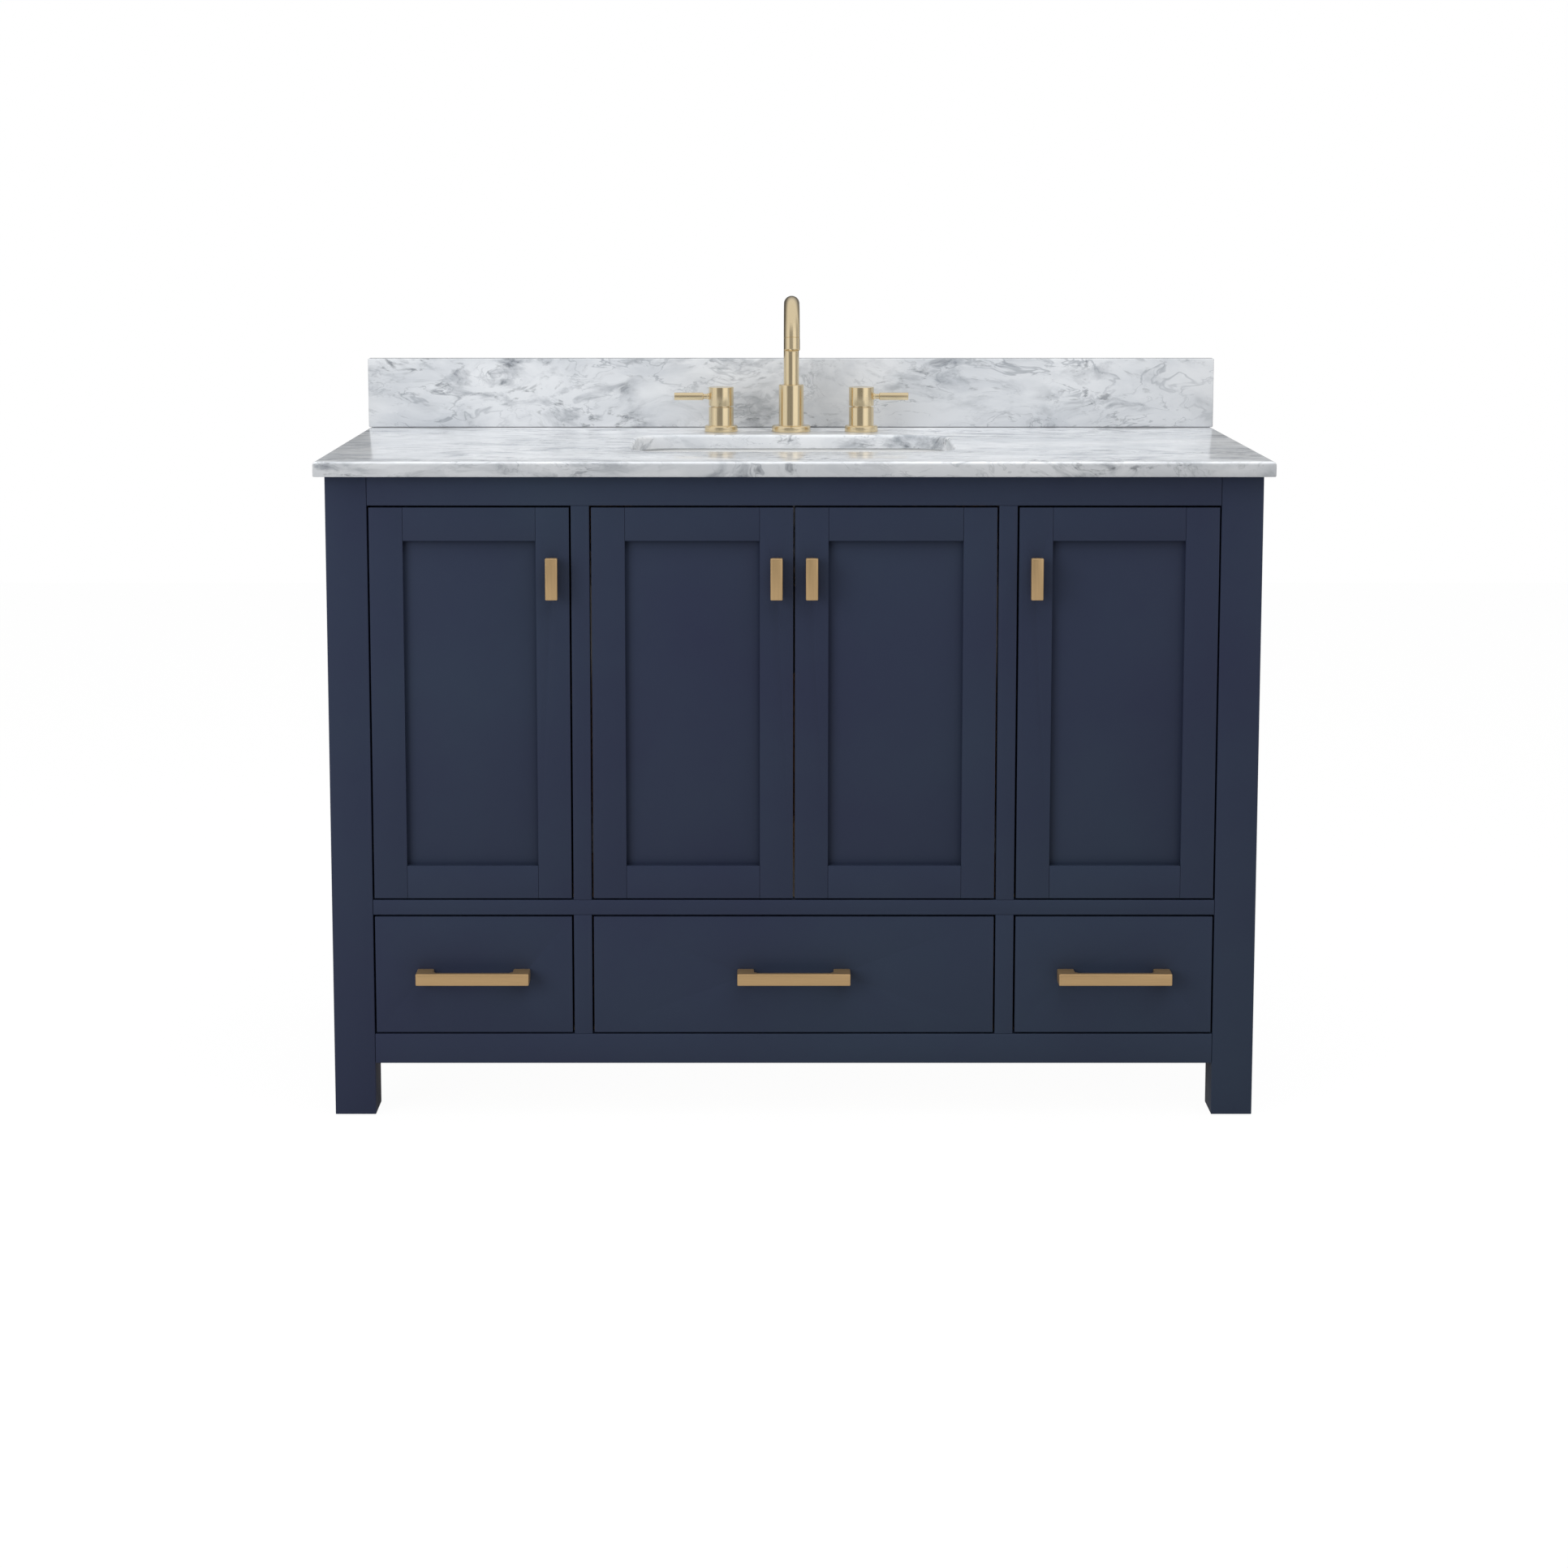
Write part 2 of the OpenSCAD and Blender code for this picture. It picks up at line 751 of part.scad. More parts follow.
module basin() {
    color(ceramic) translate([0, basin_y, 0]) difference() {
        union() {
            bowl(basin_wall, bowl_floor_z - basin_wall, cabinet_h - 1);
            translate([0, 0, cabinet_h - flange_t]) linear_extrude(flange_t)
                round_rect(rim_w, rim_l, basin_r + flange_w, $fn = 96);
        }
        bowl(0, bowl_floor_z, cabinet_h + cut);
        translate([0, 0, bowl_floor_z - basin_wall - cut]) cylinder(d = drain_d, h = basin_wall + 2 * cut);
    }
}

module basin_clips() {
    clip_w = 20;
    clip_t = 2;
    clip_grip = 14;
    clip_foot = 18;
    rim_y = basin_l / 2 + basin_reveal + flange_w;
    color(steel) translate([0, basin_y, 0]) for (x = [-1, 1], y = [-1, 1])
        translate([x * valve_spacing / 2 - clip_w / 2, 0, 0]) mirror([0, y < 0 ? 1 : 0, 0]) {
            clip_z = cabinet_h - flange_t - clip_t;
            clip_y = rim_y + play;
            block([0, rim_y - clip_grip, clip_z], [clip_w, clip_y + clip_t, clip_z + clip_t]);
            block([0, clip_y, clip_z], [clip_w, clip_y + clip_t, cabinet_h]);
            block([0, clip_y, cabinet_h - clip_t], [clip_w, rim_y + clip_foot, cabinet_h]);
        }
}

module drain_body() {
    body_bottom = bowl_floor_z - drain_body_l;
    guide_z = bowl_floor_z - guide_drop;
    inner_d = drain_body_d - 2 * drain_wall;
    color(gold) translate([0, basin_y, 0]) {
        difference() {
            union() {
                translate([0, 0, bowl_floor_z]) cylinder(d = drain_seat_d, h = drain_flange_t);
                translate([0, 0, body_bottom]) cylinder(d = drain_body_d, h = drain_body_l + 1);
                translate([0, 0, body_bottom - tailpiece_l]) cylinder(d = tailpiece_d, h = tailpiece_l + 1);
            }
            translate([0, 0, body_bottom + drain_wall]) cylinder(d = inner_d, h = drain_body_l + 10);
            translate([0, 0, body_bottom - tailpiece_l - cut])
                cylinder(d = tailpiece_d - 2 * tailpiece_wall, h = tailpiece_l + 10);
        }
        translate([0, 0, guide_z]) difference() {
            union() {
                for (a = [0, 90]) rotate(a)
                    translate([-inner_d / 2 - 1, -2, 0]) cube([inner_d + 2, 4, 6]);
                cylinder(d = 2 * stem_d, h = 6);
            }
            translate([0, 0, -cut]) cylinder(d = stem_d + 2 * play, h = 6 + 2 * cut);
        }
    }
}

module drain_nut() {
    outer_z = bowl_floor_z - basin_wall;
    translate([0, basin_y, 0]) {
        color(rubber) translate([0, 0, outer_z - washer_t]) ring(drain_seat_d - 4, drain_body_d, washer_t);
        color(gold) translate([0, 0, outer_z - washer_t - joint - nut_t])
            ring(drain_seat_d, drain_body_d, nut_t);
    }
}

// A flat ring with a small gap to the shaft it sits on
module ring(outer, shaft, t) {
    difference() {
        cylinder(d = outer, h = t);
        translate([0, 0, -cut]) cylinder(d = shaft + 2 * stile_play, h = t + 2 * cut);
    }
}

module drain_stopper() {
    seat_z = bowl_floor_z + drain_flange_t + play;
    stem_end = bowl_floor_z - guide_drop - 12;
    color(gold) translate([0, basin_y, 0]) {
        translate([0, 0, seat_z]) rotate_extrude()
            polygon([[0, 0], [drain_seat_d / 2 - 6, 0], [drain_seat_d / 2 - 2, stopper_t - 3],
                     [drain_seat_d / 2 - 3, stopper_t - 1], [drain_seat_d / 2 - 8, stopper_t],
                     [0, stopper_t]]);
        translate([0, 0, stem_end]) cylinder(d = stem_d, h = seat_z - stem_end + 1);
    }
}

// ---------- faucet ----------

// A round foot whose edge steps in to a smaller top
module escutcheon(d) {
    rotate_extrude()
        polygon([[0, 0], [d / 2, 0], [d / 2, 3.5], [d / 2 - 3, 6], [d / 2 - 6, escutcheon_t], [0, escutcheon_t]]);
}

// The threaded shank under a foot, through the stone
module shank() {
    translate([0, 0, -top_t - shank_l]) cylinder(d = shank_d, h = top_t + shank_l + 1);
}

module spout_base() {
    color(gold) translate([0, faucet_y, top_z]) difference() {
        union() {
            escutcheon(spout_foot_d);
            shank();
            cylinder(d = collar_d, h = spout_collar_h);
        }
        translate([0, 0, spout_collar_h - spout_socket]) cylinder(d = tube_d + 2 * play, h = spout_socket + cut);
        translate([0, 0, -top_t - shank_l - cut]) cylinder(d = shank_bore, h = top_t + shank_l + spout_collar_h);
    }
}

module valve_bases() {
    color(gold) valve_places() translate([0, 0, top_z]) difference() {
        union() {
            escutcheon(valve_foot_d);
            shank();
            cylinder(d = collar_d, h = valve_body_h);
            cylinder(d = neck_d, h = valve_neck_h);
            cylinder(d = stem_bore_d - 2 * play, h = valve_neck_h + stem_top);
        }
        translate([0, 0, -top_t - shank_l - cut]) cylinder(d = shank_bore, h = top_t + shank_l);
    }
}

stem_bore_d = 12;

module faucet_nuts() {
    color(gold) faucet_places() translate([0, 0, cabinet_h - faucet_nut_t])
        ring(faucet_nut_d, shank_d, faucet_nut_t);
}

// A riser that turns in the collar, a bend over the basin and a thicker nozzle with its aerator
module spout() {
    outer_r = tube_d / 2;
    bore_r = outer_r - tube_wall;
    sleeve_l = 0.7 * nozzle_l;
    sleeve_r = outer_r + 0.8;
    foot_z = spout_collar_h - spout_socket + play;
    color(gold) translate([0, faucet_y, top_z]) {
        translate([0, 0, foot_z]) difference() {
            cylinder(r = outer_r, h = bend_h - foot_z);
            translate([0, 0, -cut]) cylinder(r = bore_r, h = bend_h - foot_z + 2 * cut);
        }
        translate([0, -bend_r, bend_h]) rotate([90, 0, 90])
            rotate_extrude(angle = bend_angle, $fn = 128) translate([bend_r, 0]) difference() {
                circle(outer_r);
                circle(bore_r);
            }
        at_nozzle() rotate_extrude()
            polygon([[bore_r, 0], [sleeve_r, 0], [sleeve_r, sleeve_l], [outer_r, sleeve_l],
                     [outer_r, nozzle_l], [bore_r, nozzle_l]]);
        at_nozzle() translate([0, 0, aerator_inset]) ring(2 * (bore_r - stile_play), bore_r, aerator_h);
    }
}

aerator_inset = 1.5;
aerator_h = 5;

// Children at the end of the spout, with +Z pointing back into the nozzle
module at_nozzle() {
    translate([0, -bend_r, bend_h]) rotate([bend_angle, 0, 0]) translate([0, bend_r, nozzle_l])
        mirror([0, 0, 1]) children();
}

// A hub with its lever along +X
module handle() {
    color(gold) translate([0, 0, top_z + valve_neck_h + play]) difference() {
        union() {
            cylinder(d = collar_d, h = hub_h);
            translate([0, 0, lever_h]) rotate([0, 90, 0]) {
                cylinder(d = lever_neck_d, h = collar_d / 2 + lever_neck_l + 1);
                translate([0, 0, collar_d / 2 + lever_neck_l]) cylinder(d = lever_d, h = lever_l - lever_neck_l);
            }
        }
        translate([0, 0, -cut]) cylinder(d = stem_bore_d, h = stem_top + cut);
    }
}

module left_handle() {
    translate([-valve_spacing, faucet_y, 0]) mirror([1, 0, 0]) handle();
}

module right_handle() {
    translate([valve_spacing, faucet_y, 0]) handle();
}

front_posts();
rear_posts();
top_rail();
middle_rail();
bottom_rail();
mullions();
side_rails();
side_panels();
bottom_panel();
drawer_deck();
partitions();
back_panel();
back_rails();
shelves();
shelf_pins();
corner_braces();
leveling_feet();
hinge_plates();
runner_rails();
countertop();
backsplash();
basin();
basin_clips();
drain_body();
drain_nut();
spout_base();
valve_bases();
faucet_nuts();
door_frame(0);  // left_door_frame
door_panel(0);  // left_door_panel
door_pull(0);  // left_door_pull
hinge_cups(0);  // left_door_hinge_cups
door_frame(1);  // centre_left_door_frame
door_panel(1);  // centre_left_door_panel
door_pull(1);  // centre_left_door_pull
hinge_cups(1);  // centre_left_door_hinge_cups
door_frame(2);  // centre_right_door_frame
door_panel(2);  // centre_right_door_panel
door_pull(2);  // centre_right_door_pull
hinge_cups(2);  // centre_right_door_hinge_cups
door_frame(3);  // right_door_frame
door_panel(3);  // right_door_panel
door_pull(3);  // right_door_pull
hinge_cups(3);  // right_door_hinge_cups
drawer_front(0);  // left_drawer_front
drawer_box(0);  // left_drawer_box
drawer_pull(0);  // left_drawer_pull
drawer_runners(0);  // left_drawer_runners
drawer_front(1);  // centre_drawer_front
drawer_box(1);  // centre_drawer_box
drawer_pull(1);  // centre_drawer_pull
drawer_runners(1);  // centre_drawer_runners
drawer_front(2);  // right_drawer_front
drawer_box(2);  // right_drawer_box
drawer_pull(2);  // right_drawer_pull
drawer_runners(2);  // right_drawer_runners
spout();
left_handle();
right_handle();
drain_stopper();
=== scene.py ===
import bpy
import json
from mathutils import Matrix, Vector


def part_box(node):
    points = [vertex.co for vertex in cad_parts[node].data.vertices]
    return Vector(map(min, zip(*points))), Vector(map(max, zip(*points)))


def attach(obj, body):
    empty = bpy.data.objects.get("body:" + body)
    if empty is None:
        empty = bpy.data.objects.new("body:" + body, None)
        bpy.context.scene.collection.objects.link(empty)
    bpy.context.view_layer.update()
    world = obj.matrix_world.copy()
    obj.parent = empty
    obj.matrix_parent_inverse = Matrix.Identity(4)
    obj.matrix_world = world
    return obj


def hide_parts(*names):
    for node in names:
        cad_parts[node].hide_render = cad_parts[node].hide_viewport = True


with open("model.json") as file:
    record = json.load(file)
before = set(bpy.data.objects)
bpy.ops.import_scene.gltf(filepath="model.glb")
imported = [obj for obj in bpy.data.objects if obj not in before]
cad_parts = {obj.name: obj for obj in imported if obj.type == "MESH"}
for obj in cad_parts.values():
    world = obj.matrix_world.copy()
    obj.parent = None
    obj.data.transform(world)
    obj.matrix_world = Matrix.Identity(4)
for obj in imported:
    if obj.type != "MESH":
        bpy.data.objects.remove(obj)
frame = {"nodes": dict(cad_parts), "record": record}

"""Dresses the bathroom vanity: painted frame and doors, birch inside, marble top, ceramic basin, brass faucet.

Every length is in metres. X runs to the right, the front faces -Y and Z is up.
"""

import json
import logging
import math
from dataclasses import dataclass, field
from enum import Enum
from typing import Callable, ClassVar, Iterable, Sequence

import bmesh
import bpy
from mathutils import Matrix, Vector

log = logging.getLogger("vanity")
MM = 0.001
JOINT_GAP = 0.35 * MM
Point = tuple[float, float, float]
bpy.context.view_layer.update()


# ---------------------------------------------------------------- node trees


class Bench:
    """A node tree with short calls that add and join nodes."""

    def __init__(self, tree: bpy.types.NodeTree) -> None:
        """Takes the tree to work on."""
        self.tree = tree

    def add(self, kind: str, inputs: dict | None = None, **settings: object) -> bpy.types.Node:
        """Adds one node.

        Args:
            kind: Blender's name of the node type.
            inputs: Values, or sockets to link, by input name or number.
            settings: Attributes to set on the node.

        Returns:
            The new node.
        """
        node = self.tree.nodes.new(kind)
        for key, value in settings.items():
            setattr(node, key, value)
        for key, value in (inputs or {}).items():
            if isinstance(value, bpy.types.NodeSocket):
                self.tree.links.new(value, node.inputs[key])
            else:
                node.inputs[key].default_value = value
        return node

    def math(self, operation: str, first: object, second: object = 0.0) -> bpy.types.NodeSocket:
        """Adds a Math node and returns its result."""
        return self.add("ShaderNodeMath", {0: first, 1: second}, operation=operation).outputs[0]

    def ranged(self, value: object, low: float, high: float, to_low: float = 0.0,
               to_high: float = 1.0) -> bpy.types.NodeSocket:
        """Maps a value from low..high to another range, clamped, and returns it."""
        node = self.add("ShaderNodeMapRange", {"Value": value, "From Min": low, "From Max": high,
                                               "To Min": to_low, "To Max": to_high})
        return node.outputs["Result"]

    def mixed(self, factor: object, first: object, second: object) -> bpy.types.NodeSocket:
        """Mixes two colours by a factor and returns the colour."""
        node = self.add("ShaderNodeMix", {0: factor, 6: first, 7: second}, data_type="RGBA")
        return node.outputs[2]

    def noise(self, vector: object, scale: object, detail: float = 4.0, roughness: float = 0.5,
              distortion: float = 0.0) -> bpy.types.NodeSocket:
        """Adds a noise texture and returns its value."""
        node = self.add("ShaderNodeTexNoise", {"Vector": vector, "Scale": scale, "Detail": detail,
                                               "Roughness": roughness, "Distortion": distortion})
        return node.outputs["Fac"]


def shader_group(name: str, inputs: Sequence[tuple[str, str, object]], outputs: Sequence[tuple[str, str]],
                 fill: Callable[[Bench, bpy.types.Node], dict[str, bpy.types.NodeSocket]]) -> bpy.types.NodeTree:
    """Builds a shader node group once.

    Args:
        name: The group's name.
        inputs: Name, socket type and default of each input.
        outputs: Name and socket type of each output.
        fill: Adds the inner nodes and returns the socket for each output.

    Returns:
        The group, new or found.
    """
    found = bpy.data.node_groups.get(name)
    if found:
        return found
    tree = bpy.data.node_groups.new(name, "ShaderNodeTree")
    for label, kind, default in inputs:
        socket = tree.interface.new_socket(label, in_out="INPUT", socket_type=kind)
        if default is not None:
            socket.default_value = default
    for label, kind in outputs:
        tree.interface.new_socket(label, in_out="OUTPUT", socket_type=kind)
    bench = Bench(tree)
    made = fill(bench, bench.add("NodeGroupInput"))
    bench.add("NodeGroupOutput", made)
    return tree


def mottle_group() -> bpy.types.NodeTree:
    """A slow, cloudy value between two limits, for sheen that varies over a surface."""

    def fill(bench: Bench, given: bpy.types.Node) -> dict[str, bpy.types.NodeSocket]:
        cloud = bench.noise(given.outputs["Vector"], given.outputs["Scale"], 5.0, 0.6)
        node = bench.add("ShaderNodeMapRange", {"Value": cloud, "From Min": 0.3, "From Max": 0.7,
                                                "To Min": given.outputs["Low"], "To Max": given.outputs["High"]})
        return {"Value": node.outputs["Result"]}

    return shader_group("mottle", [("Vector", "NodeSocketVector", None), ("Scale", "NodeSocketFloat", 8.0),
                                   ("Low", "NodeSocketFloat", 0.0), ("High", "NodeSocketFloat", 1.0)],
                        [("Value", "NodeSocketFloat")], fill)


def grain_group() -> bpy.types.NodeTree:
    """Wood figure: long streaks, soft cathedral bands and fine pores."""

    def fill(bench: Bench, given: bpy.types.Node) -> dict[str, bpy.types.NodeSocket]:
        stretch = bench.add("ShaderNodeVectorMath", {0: given.outputs["Vector"], 1: given.outputs["Stretch"]},
                            operation="MULTIPLY").outputs[0]
        bend = bench.noise(stretch, 1.6, 2.0, 0.5)
        bands = bench.math("FRACT", bench.math("MULTIPLY", bend, 9.0))
        bands = bench.math("PINGPONG", bands, 0.5)
        streak = bench.noise(stretch, 14.0, 6.0, 0.65)
        pores = bench.noise(stretch, 60.0, 2.0, 0.5)
        figure = bench.math("ADD", bench.math("MULTIPLY", bands, 0.7), bench.math("MULTIPLY", streak, 0.65))
        tone = bench.ranged(figure, 0.25, 0.85)
        color = bench.mixed(tone, given.outputs["Light"], given.outputs["Dark"])
        dots = bench.ranged(pores, 0.62, 0.74)
        color = bench.mixed(bench.math("MULTIPLY", dots, 0.35), color, given.outputs["Dark"])
        return {"Color": color, "Height": bench.math("SUBTRACT", streak, bench.math("MULTIPLY", dots, 0.5))}

    return shader_group("grain", [("Vector", "NodeSocketVector", None), ("Stretch", "NodeSocketVector", None),
                                  ("Light", "NodeSocketColor", None), ("Dark", "NodeSocketColor", None)],
                        [("Color", "NodeSocketColor"), ("Height", "NodeSocketFloat")], fill)


def brushed_group() -> bpy.types.NodeTree:
    """Fine parallel brush lines, as a roughness and a height."""

    def fill(bench: Bench, given: bpy.types.Node) -> dict[str, bpy.types.NodeSocket]:
        stretch = bench.add("ShaderNodeVectorMath", {0: given.outputs["Vector"], 1: given.outputs["Stretch"]},
                            operation="MULTIPLY").outputs[0]
        lines = bench.noise(stretch, 1.0, 3.0, 0.7)
        smudge = bench.noise(given.outputs["Vector"], 9.0, 2.0, 0.5)
        worn = bench.math("ADD", bench.math("MULTIPLY", lines, 0.75), bench.math("MULTIPLY", smudge, 0.25))
        node = bench.add("ShaderNodeMapRange", {"Value": worn, "From Min": 0.3, "From Max": 0.7,
                                                "To Min": given.outputs["Low"], "To Max": given.outputs["High"]})
        return {"Roughness": node.outputs["Result"], "Height": lines}

    return shader_group("brushed", [("Vector", "NodeSocketVector", None), ("Stretch", "NodeSocketVector", None),
                                    ("Low", "NodeSocketFloat", 0.2), ("High", "NodeSocketFloat", 0.4)],
                        [("Roughness", "NodeSocketFloat"), ("Height", "NodeSocketFloat")], fill)


def vein_group() -> bpy.types.NodeTree:
    """One family of stone veins: a warped ridge that fades in and out, as a mask."""

    def fill(bench: Bench, given: bpy.types.Node) -> dict[str, bpy.types.NodeSocket]:
        vector = given.outputs["Vector"]
        warp = bench.add("ShaderNodeTexNoise", {"Vector": vector, "Scale": given.outputs["Scale"],
                                                "Detail": 3.0, "Roughness": 0.55})
        push = bench.add("ShaderNodeVectorMath", {0: warp.outputs["Color"], 1: (0.5, 0.5, 0.5)},
                         operation="SUBTRACT").outputs[0]
        push = bench.add("ShaderNodeVectorMath", {0: push, "Scale": given.outputs["Warp"]},
                         operation="SCALE").outputs[0]
        moved = bench.add("ShaderNodeVectorMath", {0: vector, 1: push}, operation="ADD").outputs[0]
        ridge = bench.noise(moved, given.outputs["Scale"], 5.0, 0.55)
        ridge = bench.math("ABSOLUTE", bench.math("SUBTRACT", ridge, 0.5))
        line = bench.add("ShaderNodeMapRange", {"Value": ridge, "From Min": 0.0, "From Max": given.outputs["Width"],
                                                "To Min": 1.0, "To Max": 0.0}, interpolation_type="SMOOTHSTEP")
        fade = bench.noise(vector, bench.math("MULTIPLY", given.outputs["Scale"], 0.8), 3.0, 0.5)
        fade = bench.ranged(fade, 0.44, 0.66)
        return {"Mask": bench.math("MULTIPLY", line.outputs["Result"], fade)}

    return shader_group("vein", [("Vector", "NodeSocketVector", None), ("Scale", "NodeSocketFloat", 4.0),
                                 ("Warp", "NodeSocketFloat", 0.1), ("Width", "NodeSocketFloat", 0.03)],
                        [("Mask", "NodeSocketFloat")], fill)


# ---------------------------------------------------------------- finishes


@dataclass(frozen=True)
class Finish:
    """A surface finish: one material, and the record's slot that it belongs to."""

    name: str
    slot: str
    made: ClassVar[dict[str, bpy.types.Material]] = {}

    def material(self) -> bpy.types.Material:
        """Returns the finish's material, built on first use."""
        if self.name not in self.made:
            material = bpy.data.materials.new(self.name)
            material.use_nodes = True
            bench = Bench(material.node_tree)
            shader = material.node_tree.nodes["Principled BSDF"]
            place = bench.add("ShaderNodeTexCoord").outputs["Object"]
            self.build(bench, shader, place)
            self.made[self.name] = material
        return self.made[self.name]

    def build(self, bench: Bench, shader: bpy.types.Node, place: bpy.types.NodeSocket) -> None:
        """Adds the finish's own nodes.

        Args:
            bench: The material's tree.
            shader: Its Principled BSDF.
            place: Object coordinates.
        """
        raise NotImplementedError

    @staticmethod
    def use(bench: Bench, group: bpy.types.NodeTree, inputs: dict) -> bpy.types.Node:
        """Places a shader group in the material and returns its node."""
        node = bench.add("ShaderNodeGroup")
        node.node_tree = group
        for key, value in inputs.items():
            if isinstance(value, bpy.types.NodeSocket):
                bench.tree.links.new(value, node.inputs[key])
            else:
                node.inputs[key].default_value = value
        return node

    @staticmethod
    def bump(bench: Bench, shader: bpy.types.Node, height: bpy.types.NodeSocket, depth: float,
             strength: float = 1.0) -> None:
        """Lets a height feed the shader's normal through a Bump node."""
        node = bench.add("ShaderNodeBump", {"Height": height, "Distance": depth, "Strength": strength})
        bench.tree.links.new(node.outputs["Normal"], shader.inputs["Normal"])


@dataclass(frozen=True)
class Paint(Finish):
    """Satin furniture paint with a faint roller texture and a slow change of depth."""

    color: tuple[float, float, float, float] = (0.0280, 0.0405, 0.0675, 1.0)
    deep: tuple[float, float, float, float] = (0.0245, 0.0302, 0.0600, 1.0)

    def build(self, bench: Bench, shader: bpy.types.Node, place: bpy.types.NodeSocket) -> None:
        """See Finish.build."""
        cloud = self.use(bench, mottle_group(), {"Vector": place, "Scale": 2.2})
        color = bench.mixed(cloud.outputs["Value"], self.deep, self.color)
        sheen = self.use(bench, mottle_group(), {"Vector": place, "Scale": 11.0, "Low": 0.38, "High": 0.48})
        bench.tree.links.new(color, shader.inputs["Base Color"])
        bench.tree.links.new(sheen.outputs["Value"], shader.inputs["Roughness"])
        shader.inputs["Specular IOR Level"].default_value = 0.14
        peel = bench.noise(place, 420.0, 2.0, 0.5)
        self.bump(bench, shader, peel, 0.0001, 0.3)


@dataclass(frozen=True)
class Marble(Finish):
    """Polished white marble: soft clouds, slanting grey wisps, thin veins and short dark flecks; a copy may be darkened
    evenly as painted shade.
    """

    ground: tuple[float, float, float, float] = (0.80, 0.82, 0.845, 1.0)
    cloud: tuple[float, float, float, float] = (0.56, 0.59, 0.63, 1.0)
    wisp: tuple[float, float, float, float] = (0.27, 0.295, 0.33, 1.0)
    fleck: tuple[float, float, float, float] = (0.12, 0.135, 0.155, 1.0)
    lean: tuple[float, float, float] = (0.35, 0.75, 0.6)
    # Below 1, this darkens the whole stone evenly towards black, as painted shade for faces that get less light than
    # the top.
    painted_shade_factor: float = 1.0

    def build(self, bench: Bench, shader: bpy.types.Node, place: bpy.types.NodeSocket) -> None:
        """See Finish.build."""
        turned_place = bench.add("ShaderNodeMapping", {"Vector": place, "Rotation": self.lean,
                                                       "Scale": (0.95, 2.0, 2.0)}).outputs["Vector"]
        warp = bench.add("ShaderNodeTexNoise", {"Vector": turned_place, "Scale": 5.0, "Detail": 3.0})
        push = bench.add("ShaderNodeVectorMath", {0: warp.outputs["Color"], 1: (0.5, 0.5, 0.5)},
                         operation="SUBTRACT").outputs[0]
        push = bench.add("ShaderNodeVectorMath", {0: push, "Scale": 0.22}, operation="SCALE").outputs[0]
        moved = bench.add("ShaderNodeVectorMath", {0: turned_place, 1: push}, operation="ADD").outputs[0]
        presence = bench.ranged(bench.noise(turned_place, 4.0, 3.0, 0.55), 0.42, 0.58)
        haze = bench.ranged(bench.noise(moved, 6.0, 6.0, 0.62), 0.42, 0.66)
        grey = bench.ranged(bench.noise(moved, 17.0, 6.0, 0.62), 0.50, 0.66)
        dark = bench.ranged(bench.noise(moved, 42.0, 4.0, 0.6), 0.57, 0.68)
        color = bench.mixed(bench.math("MULTIPLY", haze, 0.75), self.ground, self.cloud)
        grey = bench.math("MULTIPLY", bench.math("MULTIPLY", grey, presence), 0.82)
        color = bench.mixed(grey, color, self.wisp)
        for scale, warp_by, width, weight in ((5.5, 0.16, 0.014, 0.6), (14.0, 0.08, 0.017, 0.55)):
            mask = self.use(bench, vein_group(), {"Vector": moved, "Scale": scale, "Warp": warp_by,
                                                  "Width": width})
            color = bench.mixed(bench.math("MULTIPLY", mask.outputs["Mask"], weight), color, self.wisp)
        dark = bench.math("MULTIPLY", bench.math("MULTIPLY", dark, presence), 0.7)
        color = bench.mixed(dark, color, self.fleck)
        # Painted shade: the colour is mixed towards black by the darkening factor.
        if self.painted_shade_factor < 1:
            color = bench.mixed(1 - self.painted_shade_factor, color, (0, 0, 0, 1))
        bench.tree.links.new(color, shader.inputs["Base Color"])
        sheen = self.use(bench, mottle_group(), {"Vector": place, "Scale": 30.0, "Low": 0.12, "High": 0.2})
        bench.tree.links.new(sheen.outputs["Value"], shader.inputs["Roughness"])
        shader.inputs["Specular IOR Level"].default_value = 0.4


@dataclass(frozen=True)
class Brushed(Finish):
    """Brushed metal whose lines run along one direction."""

    color: tuple[float, float, float, float] = (0.6, 0.43, 0.2, 1.0)
    stretch: tuple[float, float, float] = (40.0, 900.0, 900.0)
    rough: tuple[float, float] = (0.22, 0.36)
    depth: float = 0.00004
    metal: float = 1.0

    def build(self, bench: Bench, shader: bpy.types.Node, place: bpy.types.NodeSocket) -> None:
        """See Finish.build."""
        lines = self.use(bench, brushed_group(), {"Vector": place, "Stretch": self.stretch,
                                                  "Low": self.rough[0], "High": self.rough[1]})
        dark = tuple(c * 0.9 for c in self.color[:3]) + (1.0,)
        color = bench.mixed(bench.ranged(lines.outputs["Height"], 0.35, 0.65), dark, self.color)
        bench.tree.links.new(color, shader.inputs["Base Color"])
        bench.tree.links.new(lines.outputs["Roughness"], shader.inputs["Roughness"])
        shader.inputs["Metallic"].default_value = self.metal
        if self.depth > 0:
            self.bump(bench, shader, lines.outputs["Height"], self.depth, 0.25)


